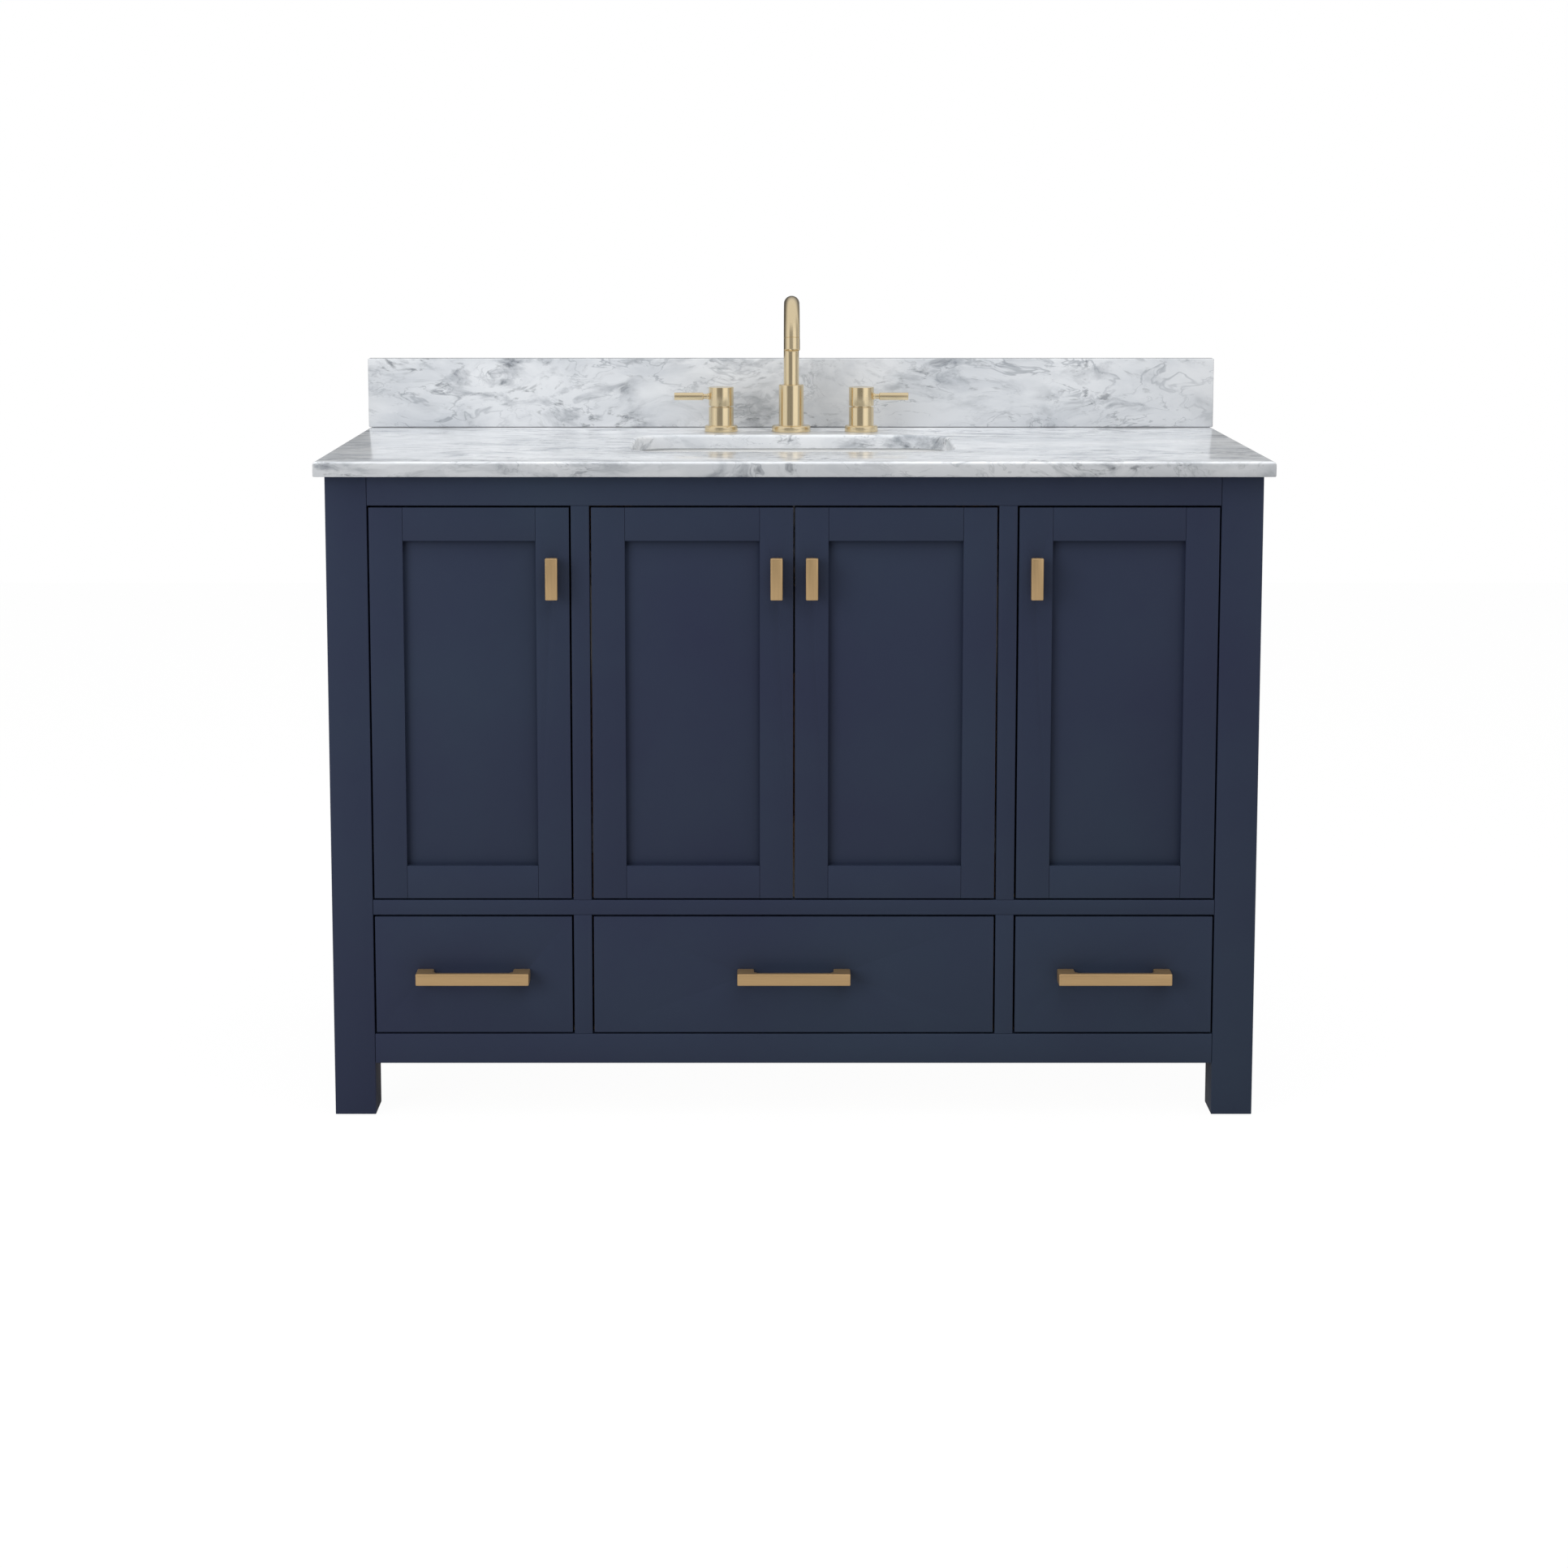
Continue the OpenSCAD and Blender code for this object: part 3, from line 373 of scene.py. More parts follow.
@dataclass(frozen=True)
class Wood(Finish):
    """Clear-coated wood with its grain along one direction."""

    light: tuple[float, float, float, float] = (0.68, 0.49, 0.29, 1.0)
    dark: tuple[float, float, float, float] = (0.50, 0.33, 0.17, 1.0)
    stretch: tuple[float, float, float] = (8.0, 1.2, 8.0)

    def build(self, bench: Bench, shader: bpy.types.Node, place: bpy.types.NodeSocket) -> None:
        """See Finish.build."""
        grain = self.use(bench, grain_group(), {"Vector": place, "Stretch": self.stretch,
                                                "Light": self.light, "Dark": self.dark})
        bench.tree.links.new(grain.outputs["Color"], shader.inputs["Base Color"])
        sheen = self.use(bench, mottle_group(), {"Vector": place, "Scale": 14.0, "Low": 0.34, "High": 0.48})
        bench.tree.links.new(sheen.outputs["Value"], shader.inputs["Roughness"])
        self.bump(bench, shader, grain.outputs["Height"], 0.0002, 0.3)


@dataclass(frozen=True)
class Glaze(Finish):
    """Fired white glaze over ceramic."""

    color: tuple[float, float, float, float] = (0.83, 0.835, 0.83, 1.0)
    shade: tuple[float, float, float, float] = (0.79, 0.80, 0.80, 1.0)

    def build(self, bench: Bench, shader: bpy.types.Node, place: bpy.types.NodeSocket) -> None:
        """See Finish.build."""
        cloud = self.use(bench, mottle_group(), {"Vector": place, "Scale": 7.0})
        bench.tree.links.new(bench.mixed(cloud.outputs["Value"], self.shade, self.color),
                             shader.inputs["Base Color"])
        sheen = self.use(bench, mottle_group(), {"Vector": place, "Scale": 18.0, "Low": 0.08, "High": 0.15})
        bench.tree.links.new(sheen.outputs["Value"], shader.inputs["Roughness"])
        shader.inputs["Coat Weight"].default_value = 0.6
        shader.inputs["Coat Roughness"].default_value = 0.04
        self.bump(bench, shader, bench.noise(place, 38.0, 2.0), 0.0004, 0.12)


@dataclass(frozen=True)
class Moulded(Finish):
    """Moulded plastic or rubber with a fine spark-eroded texture."""

    color: tuple[float, float, float, float] = (0.02, 0.02, 0.022, 1.0)
    rough: tuple[float, float] = (0.45, 0.6)

    def build(self, bench: Bench, shader: bpy.types.Node, place: bpy.types.NodeSocket) -> None:
        """See Finish.build."""
        pale = tuple(c * 1.5 for c in self.color[:3]) + (1.0,)
        cloud = self.use(bench, mottle_group(), {"Vector": place, "Scale": 60.0})
        bench.tree.links.new(bench.mixed(cloud.outputs["Value"], self.color, pale), shader.inputs["Base Color"])
        sheen = self.use(bench, mottle_group(), {"Vector": place, "Scale": 45.0, "Low": self.rough[0],
                                                 "High": self.rough[1]})
        bench.tree.links.new(sheen.outputs["Value"], shader.inputs["Roughness"])
        self.bump(bench, shader, bench.noise(place, 900.0, 1.0), 0.0001, 0.4)


NAVY = Paint("navy_satin_paint", "navy_paint")
MARBLE = Marble("polished_marble", "marble")
# A darker copy of the marble for the slab's front and side edges: painted shade, as these faces get less light than the
# top.
MARBLE_EDGE_PAINTED_SHADE = Marble("polished_marble_edge_painted_shade", "marble", painted_shade_factor=0.7)
# A darker copy of the marble for the upright backsplash: painted shade, as it gets less light than the top.
MARBLE_SPLASH_PAINTED_SHADE = Marble("polished_marble_splash_painted_shade", "marble", painted_shade_factor=0.86)
FAUCET_BRASS = Brushed("faucet_brass", "brushed_gold", (0.86, 0.71, 0.46, 1.0), (1100.0, 1100.0, 18.0),
                       (0.15, 0.2), 0.0)
LEVER_BRASS = Brushed("lever_brass", "brushed_gold", (0.86, 0.71, 0.46, 1.0), (18.0, 1100.0, 1100.0),
                      (0.15, 0.2), 0.0)
PULL_BRASS = Brushed("pull_brass", "pull_gold", (0.60, 0.40, 0.20, 1.0), (20.0, 900.0, 900.0), (0.3, 0.42),
                     0.00003, 0.72)
UPRIGHT_BRASS = Brushed("upright_pull_brass", "pull_gold", (0.60, 0.41, 0.21, 1.0), (900.0, 900.0, 20.0),
                        (0.3, 0.42), 0.00003, 0.72)
NUT_BRASS = Brushed("nut_brass", "brass_nuts", (0.56, 0.42, 0.2, 1.0), (300.0, 300.0, 60.0), (0.3, 0.45))
STEEL = Brushed("plated_steel", "plated_steel", (0.62, 0.63, 0.65, 1.0), (200.0, 60.0, 200.0), (0.24, 0.4))
GLAZE = Glaze("white_glaze", "white_ceramic")
SIDE_PLY = Wood("birch_upright", "birch_ply", stretch=(9.0, 9.0, 1.2))
FLAT_PLY = Wood("birch_flat", "birch_ply", stretch=(1.2, 9.0, 9.0))
DRAWER_SIDE = Wood("birch_drawer_side", "drawer_birch", (0.70, 0.52, 0.32, 1.0), (0.53, 0.36, 0.19, 1.0),
                   (9.0, 1.2, 9.0))
BLACK = Moulded("black_plastic", "black_plastic")


# ---------------------------------------------------------------- meshes


def add_piece(name: str, mesh: bpy.types.Mesh, finishes: Sequence[Finish], body: str,
              nodes: Iterable[str] = ()) -> bpy.types.Object:
    """Makes a finished piece from a mesh.

    Args:
        name: The piece's name.
        mesh: Its mesh, in the frame's own place.
        finishes: Its finishes, in the order of the mesh's material slots.
        body: The body it rides on.
        nodes: The CAD nodes that it stands for.

    Returns:
        The piece.
    """
    mesh.name = name
    mesh.materials.clear()
    for finish in finishes:
        mesh.materials.append(finish.material())
    piece = bpy.data.objects.new(name, mesh)
    bpy.context.scene.collection.objects.link(piece)
    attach(piece, body)
    if nodes:
        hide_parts(*nodes)
    return piece


def finish_mesh(shape: bmesh.types.BMesh, smooth_angle: float = 35.0) -> bpy.types.Mesh:
    """Turns a bmesh into a mesh that is smooth up to an angle, and frees the bmesh."""
    mesh = bpy.data.meshes.new("shape")
    shape.to_mesh(mesh)
    shape.free()
    mesh.shade_smooth()
    mesh.set_sharp_from_angle(angle=math.radians(smooth_angle))
    return mesh


def ease_edges(shape: bmesh.types.BMesh, width: float, segments: int = 3, angle: float = 40.0) -> None:
    """Rounds every edge of a bmesh that is sharper than an angle."""
    limit = math.radians(angle)
    sharp = [e for e in shape.edges if len(e.link_faces) == 2 and e.calc_face_angle() > limit]
    bmesh.ops.bevel(shape, geom=sharp, offset=width, segments=segments, profile=0.5, affect="EDGES",
                    clamp_overlap=True)


def merged_copy(node: str) -> bmesh.types.BMesh:
    """Returns a bmesh of a CAD node with its corners merged and its flat faces whole."""
    shape = bmesh.new()
    shape.from_mesh(frame["nodes"][node].data)
    bmesh.ops.remove_doubles(shape, verts=shape.verts, dist=0.01 * MM)
    bmesh.ops.dissolve_limit(shape, angle_limit=math.radians(0.6), verts=shape.verts, edges=shape.edges)
    return shape


def body_of(node: str) -> str:
    """Returns the name of the body that a CAD node rides on."""
    bodies = frame["record"]["behaviour"]["bodies"]
    return next(name for name, members in bodies.items() if node in members)


def part_members(shape: bmesh.types.BMesh, gap: float) -> None:
    """Draws the cross members of a joined frame in by a gap at each end, so that its joints show as lines."""
    waiting = set(shape.verts)
    while waiting:
        member = [waiting.pop()]
        for vert in member:
            near = {e.other_vert(vert) for e in vert.link_edges} & waiting
            waiting -= near
            member += near
        low, high = (f(v.co.x for v in member) for f in (min, max))
        tall = max(v.co.z for v in member) - min(v.co.z for v in member)
        if high - low > tall:
            for vert in member:
                vert.co.x = low + gap + (vert.co.x - low) * (high - low - 2 * gap) / (high - low)


def eased_piece(node: str, finish: Finish, width: float, segments: int = 3, gap: float = 0.0) -> bpy.types.Object:
    """Makes a piece of a CAD node's own shape with its edges eased, in place of the node."""
    shape = merged_copy(node)
    if gap > 0:
        part_members(shape, gap)
    ease_edges(shape, width, segments)
    return add_piece(f"{node}_made", finish_mesh(shape), [finish], body_of(node), [node])


@dataclass(frozen=True)
class Axis:
    """A straight line that a turned shape follows."""

    start: Vector
    direction: Vector

    def at(self, distance: float) -> tuple[Vector, Vector, Vector]:
        """Returns the point at a distance, and two directions square to the line."""
        side = Vector((1, 0, 0)) if abs(self.direction.x) < 0.9 else Vector((0, 1, 0))
        other = self.direction.cross(side).normalized()
        return self.start + self.direction * distance, other.cross(self.direction).normalized(), other


@dataclass(frozen=True)
class GooseNeck:
    """The spout's centre line: straight up, round a bend to the front, then straight down."""

    foot: Vector
    rise: float
    radius: float
    sweep: float
    nozzle: float

    @property
    def length(self) -> float:
        """The length of the whole line."""
        return self.rise + self.radius * self.sweep + self.nozzle

    def at(self, distance: float) -> tuple[Vector, Vector, Vector]:
        """Returns the point at a distance, and two directions square to the line."""
        turn = min(max((distance - self.rise) / self.radius, 0.0), self.sweep)
        past = max(distance - self.rise - self.radius * self.sweep, 0.0)
        before = min(distance, self.rise)
        along = Vector((0, -math.sin(turn), math.cos(turn)))
        centre = self.foot + Vector((0, -self.radius, self.rise))
        point = centre + Vector((0, math.cos(turn), math.sin(turn))) * self.radius
        point += along * past - Vector((0, 0, self.rise - before))
        side = Vector((1, 0, 0))
        return point, side, along.cross(side)


def rounded(points: Sequence[tuple[float, float]], radius: float, steps: int = 4) -> list[tuple[float, float]]:
    """Rounds the inner corners of an open outline.

    Args:
        points: Distance and radius of each corner.
        radius: The largest rounding radius.
        steps: Points on each rounded corner, less one.

    Returns:
        The outline with each inner corner replaced by an arc-like curve.
    """
    out = [points[0]]
    for before, corner, after in zip(points, points[1:], points[2:]):
        c, b, a = Vector(corner), Vector(before), Vector(after)
        size = min(radius, (b - c).length * 0.45, (a - c).length * 0.45)
        start, end = c + (b - c).normalized() * size, c + (a - c).normalized() * size
        for step in range(steps + 1):
            t = step / steps
            point = start * (1 - t) ** 2 + c * 2 * t * (1 - t) + end * t ** 2
            out.append((point.x, point.y))
    return out + [points[-1]]


def turned(line: Axis | GooseNeck, outline: Sequence[tuple[float, float]], sides: int = 64,
           shape: bmesh.types.BMesh | None = None) -> bmesh.types.BMesh:
    """Sweeps round sections along a line.

    Args:
        line: The centre line.
        outline: Distance along the line and radius of each ring; a radius of 0 closes an end.
        sides: Faces around.
        shape: A bmesh to add to.

    Returns:
        The bmesh with the closed shape.
    """
    shape = shape or bmesh.new()
    rings = []
    for distance, radius in outline:
        point, side, other = line.at(distance)
        if radius < 0.01 * MM:
            rings.append([shape.verts.new(point)])
            continue
        ring = []
        for k in range(sides):
            angle = 2 * math.pi * k / sides
            ring.append(shape.verts.new(point + side * (radius * math.cos(angle)) + other * (radius * math.sin(angle))))
        rings.append(ring)
    made = []
    for low, high in zip(rings, rings[1:]):
        if len(low) == 1 and len(high) == 1:
            continue
        for k in range(sides):
            n = (k + 1) % sides
            if len(low) == 1:
                made.append(shape.faces.new((low[0], high[n], high[k])))
            elif len(high) == 1:
                made.append(shape.faces.new((low[k], low[n], high[0])))
            else:
                made.append(shape.faces.new((low[k], low[n], high[n], high[k])))
    bmesh.ops.recalc_face_normals(shape, faces=made)
    return shape


def add_block(shape: bmesh.types.BMesh, low: Sequence[float], high: Sequence[float]) -> list[bmesh.types.BMVert]:
    """Adds a box between two corners to a bmesh and returns its corners."""
    size = [h - l for l, h in zip(low, high)]
    middle = [(h + l) / 2 for l, h in zip(low, high)]
    matrix = Matrix.Translation(middle) @ Matrix.Diagonal((*size, 1.0))
    return bmesh.ops.create_cube(shape, size=1.0, matrix=matrix)["verts"]


def rounded_rect(middle: Vector, half_w: float, half_l: float, radius: float,
                 steps: int) -> list[tuple[float, float]]:
    """Returns the outline of a rounded rectangle about its middle, anticlockwise from its right side."""
    radius = min(radius, half_w, half_l)
    points = []
    for quarter, (sx, sy) in enumerate(((1, 1), (-1, 1), (-1, -1), (1, -1))):
        for step in range(steps + 1):
            angle = math.pi / 2 * (quarter + step / steps)
            points.append((middle.x + sx * (half_w - radius) + radius * math.cos(angle),
                           middle.y + sy * (half_l - radius) + radius * math.sin(angle)))
    return points


def bridged(shape: bmesh.types.BMesh, loops: Sequence[Sequence[bmesh.types.BMVert]]) -> None:
    """Joins each loop of corners to the next with a ring of faces."""
    for first, second in zip(loops, loops[1:]):
        for k in range(len(first)):
            n = (k + 1) % len(first)
            shape.faces.new((first[k], first[n], second[n], second[k]))


# ---------------------------------------------------------------- repeated screws


class ScrewField:
    """Sets one cross-head screw on every point of a list, by Geometry Nodes."""

    sides: int = 20

    def tree(self) -> bpy.types.NodeTree:
        """Builds the tree: a domed head with a cross recess on each point, turned to the point's normal."""
        found = bpy.data.node_groups.get("screw_heads")
        if found:
            return found
        tree = bpy.data.node_groups.new("screw_heads", "GeometryNodeTree")
        face = tree.interface
        face.new_socket("Geometry", in_out="INPUT", socket_type="NodeSocketGeometry")
        for label, default in (("Radius", 0.004), ("Height", 0.0015), ("Slot", 0.0009)):
            face.new_socket(label, in_out="INPUT", socket_type="NodeSocketFloat").default_value = default
        face.new_socket("Direction", in_out="INPUT", socket_type="NodeSocketVector")
        face.new_socket("Material", in_out="INPUT", socket_type="NodeSocketMaterial")
        face.new_socket("Geometry", in_out="OUTPUT", socket_type="NodeSocketGeometry")
        bench = Bench(tree)
        given = bench.add("NodeGroupInput").outputs
        height = given["Height"]
        head = bench.add("GeometryNodeMeshCone", {"Vertices": self.sides, "Radius Bottom": given["Radius"],
                                                  "Radius Top": bench.math("MULTIPLY", given["Radius"], 0.72),
                                                  "Depth": height}).outputs["Mesh"]
        arms = []
        for x_long in (True, False):
            long = bench.math("MULTIPLY", given["Radius"], 1.1)
            size = bench.add("ShaderNodeCombineXYZ", {0: long if x_long else given["Slot"],
                                                      1: given["Slot"] if x_long else long, 2: height})
            arm = bench.add("GeometryNodeMeshCube", {"Size": size.outputs[0]}).outputs["Mesh"]
            lift = bench.add("ShaderNodeCombineXYZ", {2: height}).outputs[0]
            arms.append(bench.add("GeometryNodeTransform", {"Geometry": arm, "Translation": lift}).outputs[0])
        cross = bench.add("GeometryNodeMeshBoolean", {"Mesh 2": arms[0]}, operation="UNION")
        tree.links.new(arms[1], cross.inputs["Mesh 2"])
        cut = bench.add("GeometryNodeMeshBoolean", {"Mesh 1": head, "Mesh 2": cross.outputs["Mesh"]},
                        operation="DIFFERENCE")
        turn = bench.add("FunctionNodeAlignEulerToVector", {"Vector": given["Direction"]}, axis="Z")
        points = bench.add("GeometryNodeMeshToPoints", {"Mesh": given["Geometry"]})
        spread = bench.add("GeometryNodeInstanceOnPoints", {"Points": points.outputs[0],
                                                            "Instance": cut.outputs["Mesh"],
                                                            "Rotation": turn.outputs[0]})
        real = bench.add("GeometryNodeRealizeInstances", {"Geometry": spread.outputs[0]})
        done = bench.add("GeometryNodeSetMaterial", {"Geometry": real.outputs[0], "Material": given["Material"]})
        bench.add("NodeGroupOutput", {"Geometry": done.outputs[0]})
        return tree

    def place(self, name: str, points: Sequence[Point], direction: Point, radius: float, finish: Finish,
              body: str) -> bpy.types.Object:
        """Makes one piece of screws.

        Args:
            name: The piece's name.
            points: The middle of each head.
            direction: Where the heads face.
            radius: A head's radius.
            finish: The screws' finish.
            body: The body that they ride on.

        Returns:
            The piece.
        """
        seeds = bpy.data.meshes.new(f"{name}_seeds")
        seeds.from_pydata([tuple(p) for p in points], [], [])
        source = bpy.data.objects.new(f"{name}_source", seeds)
        bpy.context.scene.collection.objects.link(source)
        modifier = source.modifiers.new("screws", "NODES")
        modifier.node_group = self.tree()
        values = {"Radius": radius, "Height": radius * 0.4, "Slot": radius * 0.24, "Direction": direction,
                  "Material": finish.material()}
        for item in modifier.node_group.interface.items_tree:
            if item.in_out == "INPUT" and item.name in values:
                modifier[item.identifier] = values[item.name]
        graph = bpy.context.evaluated_depsgraph_get()
        mesh = bpy.data.meshes.new_from_object(source.evaluated_get(graph))
        bpy.data.objects.remove(source)
        mesh.set_sharp_from_angle(angle=math.radians(30))
        return add_piece(name, mesh, [finish], body)


# ---------------------------------------------------------------- sub-assemblies


@dataclass
class Case:
    """The painted frame and the birch inside it."""

    edge: float = 1.0 * MM
    painted: tuple[str, ...] = ("front_posts", "rear_posts", "top_rail", "middle_rail", "bottom_rail", "mullions",
                                "side_rails", "side_panels")
    upright: tuple[str, ...] = ("partitions", "back_panel")
    flat: tuple[str, ...] = ("bottom_panel", "drawer_deck", "back_rails", "shelves", "corner_braces")

    def build(self) -> None:
        """Makes every piece of the case."""
        for node in self.painted:
            eased_piece(node, NAVY, self.edge, gap=JOINT_GAP if node.endswith("_rail") else 0.0)
        for node in self.upright:
            eased_piece(node, SIDE_PLY, 0.5 * MM, 2)
        for node in self.flat:
            eased_piece(node, FLAT_PLY, 0.5 * MM, 2)
        eased_piece("leveling_feet", BLACK, 0.6 * MM, 2)
        log.info("case: %d nodes", len(self.painted) + len(self.upright) + len(self.flat) + 1)


@dataclass
class PullShape:
    """A squared brass pull with softened edges."""

    edge: float = 1.5 * MM
    foot_length: float = 22 * MM
    bar_depth: float = 8 * MM
    inner_corner: float = 5 * MM
    foot_inset: float = 2 * MM

    def bow(self, low: Vector, high: Vector) -> bpy.types.Mesh:
        """Builds a level bar whose two ends turn back to the wood.

        Args:
            low: Lowest corner.
            high: Highest corner, on the wood's face.

        Returns:
            The mesh.
        """
        foot, corner, inner = self.foot_length, self.inner_corner, low.y + self.bar_depth
        outline = [(low.x, low.y), (high.x, low.y), (high.x, high.y), (high.x - foot, high.y),
                   (high.x - foot, inner + corner), (high.x - foot - corner, inner),
                   (low.x + foot + corner, inner), (low.x + foot, inner + corner), (low.x + foot, high.y),
                   (low.x, high.y)]
        shape = bmesh.new()
        under = shape.faces.new([shape.verts.new((x, y, low.z)) for x, y in outline])
        raised = bmesh.ops.extrude_face_region(shape, geom=[under])["geom"]
        bmesh.ops.translate(shape, vec=(0, 0, high.z - low.z),
                            verts=[v for v in raised if isinstance(v, bmesh.types.BMVert)])
        bmesh.ops.recalc_face_normals(shape, faces=shape.faces)
        ease_edges(shape, self.edge, 3, 50)
        return finish_mesh(shape, 30)

    def block(self, low: Vector, high: Vector) -> bpy.types.Mesh:
        """Builds an upright plate on one long foot, between its lowest corner and its highest on the wood."""
        shape = bmesh.new()
        add_block(shape, low, (high.x, low.y + self.bar_depth, high.z))
        inset = Vector((self.foot_inset, 0, self.foot_inset))
        add_block(shape, low + inset + Vector((0, self.bar_depth - 2 * self.edge, 0)), high - inset)
        ease_edges(shape, self.edge, 3)
        return finish_mesh(shape, 30)


@dataclass
class Door:
    """One inset door: four members round a sunk panel, its pull and its hinge cups."""

    name: str
    edge: float = 1.1 * MM

    def build(self) -> None:
        """Makes the door's pieces."""
        front_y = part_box(f"{self.name}_frame")[0].y
        eased_piece(f"{self.name}_frame", NAVY, self.edge, gap=JOINT_GAP)
        eased_piece(f"{self.name}_panel", NAVY, 0.5 * MM, 2)
        node = f"{self.name}_pull"
        low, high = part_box(node)
        mesh = PullShape().block(low, Vector((high.x, front_y, high.z)))
        add_piece(f"{node}_made", mesh, [UPRIGHT_BRASS], self.name, [node])
        cups = f"{self.name}_hinge_cups"
        eased_piece(cups, STEEL, 0.3 * MM, 2)
        low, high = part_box(cups)
        middle = (low.x + high.x) / 2
        ear = 17 * MM
        half = 24 * MM
        heights = [low.z + half, high.z - half]
        points = [(middle, high.y + 0.2 * MM, z + s * ear) for z in heights for s in (-1, 1)]
        pull_x = sum(c.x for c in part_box(node)) / 2
        pull_z = sum(c.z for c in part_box(node)) / 2
        ScrewField().place(f"{self.name}_cup_screws", points, (0, 1, 0), 3.6 * MM, STEEL, self.name)
        back_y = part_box(f"{self.name}_frame")[1].y
        ScrewField().place(f"{self.name}_pull_screw", [(pull_x, back_y + 1.3 * MM, pull_z)], (0, 1, 0), 4.4 * MM,
                           STEEL, self.name)
        log.info("door %s", self.name)


@dataclass
class Drawer:
    """One drawer: a flat front, a birch box, its pull and its runners."""

    name: str
    edge: float = 1.3 * MM

    def build(self) -> None:
        """Makes the drawer's pieces."""
        eased_piece(f"{self.name}_front", NAVY, self.edge)
        eased_piece(f"{self.name}_box", DRAWER_SIDE, 0.7 * MM, 2)
        eased_piece(f"{self.name}_runners", STEEL, 0.3 * MM, 2)
        node = f"{self.name}_pull"
        low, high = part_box(node)
        front_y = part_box(f"{self.name}_front")[0].y
        mesh = PullShape().bow(low, Vector((high.x, front_y, high.z)))
        add_piece(f"{node}_made", mesh, [PULL_BRASS], self.name, [node])
        log.info("drawer %s", self.name)


@dataclass
class StoneTop:
    """The marble top with its basin and faucet cut-outs, and the backsplash."""

    top_ease: float = 4.6 * MM
    low_ease: float = 1.6 * MM
    basin_width: float = 440 * MM
    basin_length: float = 262 * MM
    basin_radius: float = 55 * MM
    basin_setback: float = 148 * MM
    hole_radius: float = 14.5 * MM
    ease_steps: int = 6
    joint: float = 0.7 * MM
    corner: float = 1.5 * MM
    splash_ease: float = 1.2 * MM

    def edge_rings(self, low: float, high: float) -> list[tuple[float, float]]:
        """Returns the inset and height of each ring up a polished edge, from underside to top."""
        rings = []
        for step in range(self.ease_steps + 1):
            angle = math.pi / 2 * step / self.ease_steps
            rings.append((self.low_ease * (1 - math.sin(angle)), low + self.low_ease * (1 - math.cos(angle))))
        for step in range(self.ease_steps + 1):
            angle = math.pi / 2 * step / self.ease_steps
            rings.append((self.top_ease * (1 - math.cos(angle)), high - self.top_ease * (1 - math.sin(angle))))
        return rings

    def slab(self, outlines: Sequence[Callable[[float], list[tuple[float, float]]]], low: float,
             high: float) -> bpy.types.Mesh:
        """Builds a flat slab with eased edges.

        Args:
            outlines: For the slab and each hole, the outline at an inset into the stone.
            low: Height of the underside.
            high: Height of the top.

        Returns:
            The mesh.
        """
        shape = bmesh.new()
        rims: list[list[bmesh.types.BMVert]] = [[], []]
        edges: list[list[bmesh.types.BMEdge]] = [[], []]
        for outline in outlines:
            loops = [[shape.verts.new((x, y, z)) for x, y in outline(inset)]
                     for inset, z in self.edge_rings(low, high)]
            bridged(shape, loops)
            for side, loop in ((0, loops[0]), (1, loops[-1])):
                rims[side] += loop
                edges[side] += [shape.edges.get((loop[k], loop[(k + 1) % len(loop)])) for k in range(len(loop))]
        for side in (0, 1):
            bmesh.ops.triangle_fill(shape, use_beauty=True, use_dissolve=False, edges=edges[side],
                                    normal=(0, 0, 1))
        bmesh.ops.recalc_face_normals(shape, faces=shape.faces)
        return finish_mesh(shape, 30)

    def round_hole(self, x: float, y: float) -> Callable[[float], list[tuple[float, float]]]:
        """Returns the outline of a round hole as a function of its inset."""

        def outline(inset: float) -> list[tuple[float, float]]:
            radius = self.hole_radius + inset * 0.3
            return [(x + radius * math.cos(math.tau * k / 48), y + radius * math.sin(math.tau * k / 48))
                    for k in range(48)]

        return outline

    def build(self) -> None:
        """Makes the top and the backsplash."""
        low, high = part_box("countertop")
        centre = (low + high) / 2
        half = (high - low) / 2
        basin = Vector((0, low.y + self.basin_setback + self.basin_length / 2, 0))
        spout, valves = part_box("spout_base"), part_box("valve_bases")
        faucet_y = (spout[0].y + spout[1].y) / 2
        reach = (valves[1].x - valves[0].x) / 2 - (valves[1].y - valves[0].y) / 2
        outlines = [lambda inset: rounded_rect(centre, half.x - inset, half.y - inset, self.corner, 3),
                    lambda inset: rounded_rect(basin, self.basin_width / 2 + inset, self.basin_length / 2 + inset,
                                               self.basin_radius + inset, 20)]
        outlines += [self.round_hole(x, faucet_y) for x in (-reach, 0, reach)]
        mesh = self.slab(outlines, low.z, high.z)
        add_piece("countertop_made", mesh, [MARBLE, MARBLE_EDGE_PAINTED_SHADE], "cabinet", ["countertop"])
        # The side faces round the slab's outside take the darker copy, which paints shade on them.
        for face in mesh.polygons:
            outer = max(abs(face.center.x - centre.x) - half.x, abs(face.center.y - centre.y) - half.y)
            face.material_index = 1 if abs(face.normal.z) < 0.5 and outer > -self.top_ease else 0
        splash = merged_copy("backsplash")
        for vert in splash.verts:
            if vert.co.z < high.z + 1 * MM:
                vert.co.z += self.joint
        ease_edges(splash, self.splash_ease, 2)
        # The backsplash takes the darker marble copy, which paints shade on the upright face.
        add_piece("backsplash_made", finish_mesh(splash), [MARBLE_SPLASH_PAINTED_SHADE], "cabinet", ["backsplash"])
        log.info("stone top")


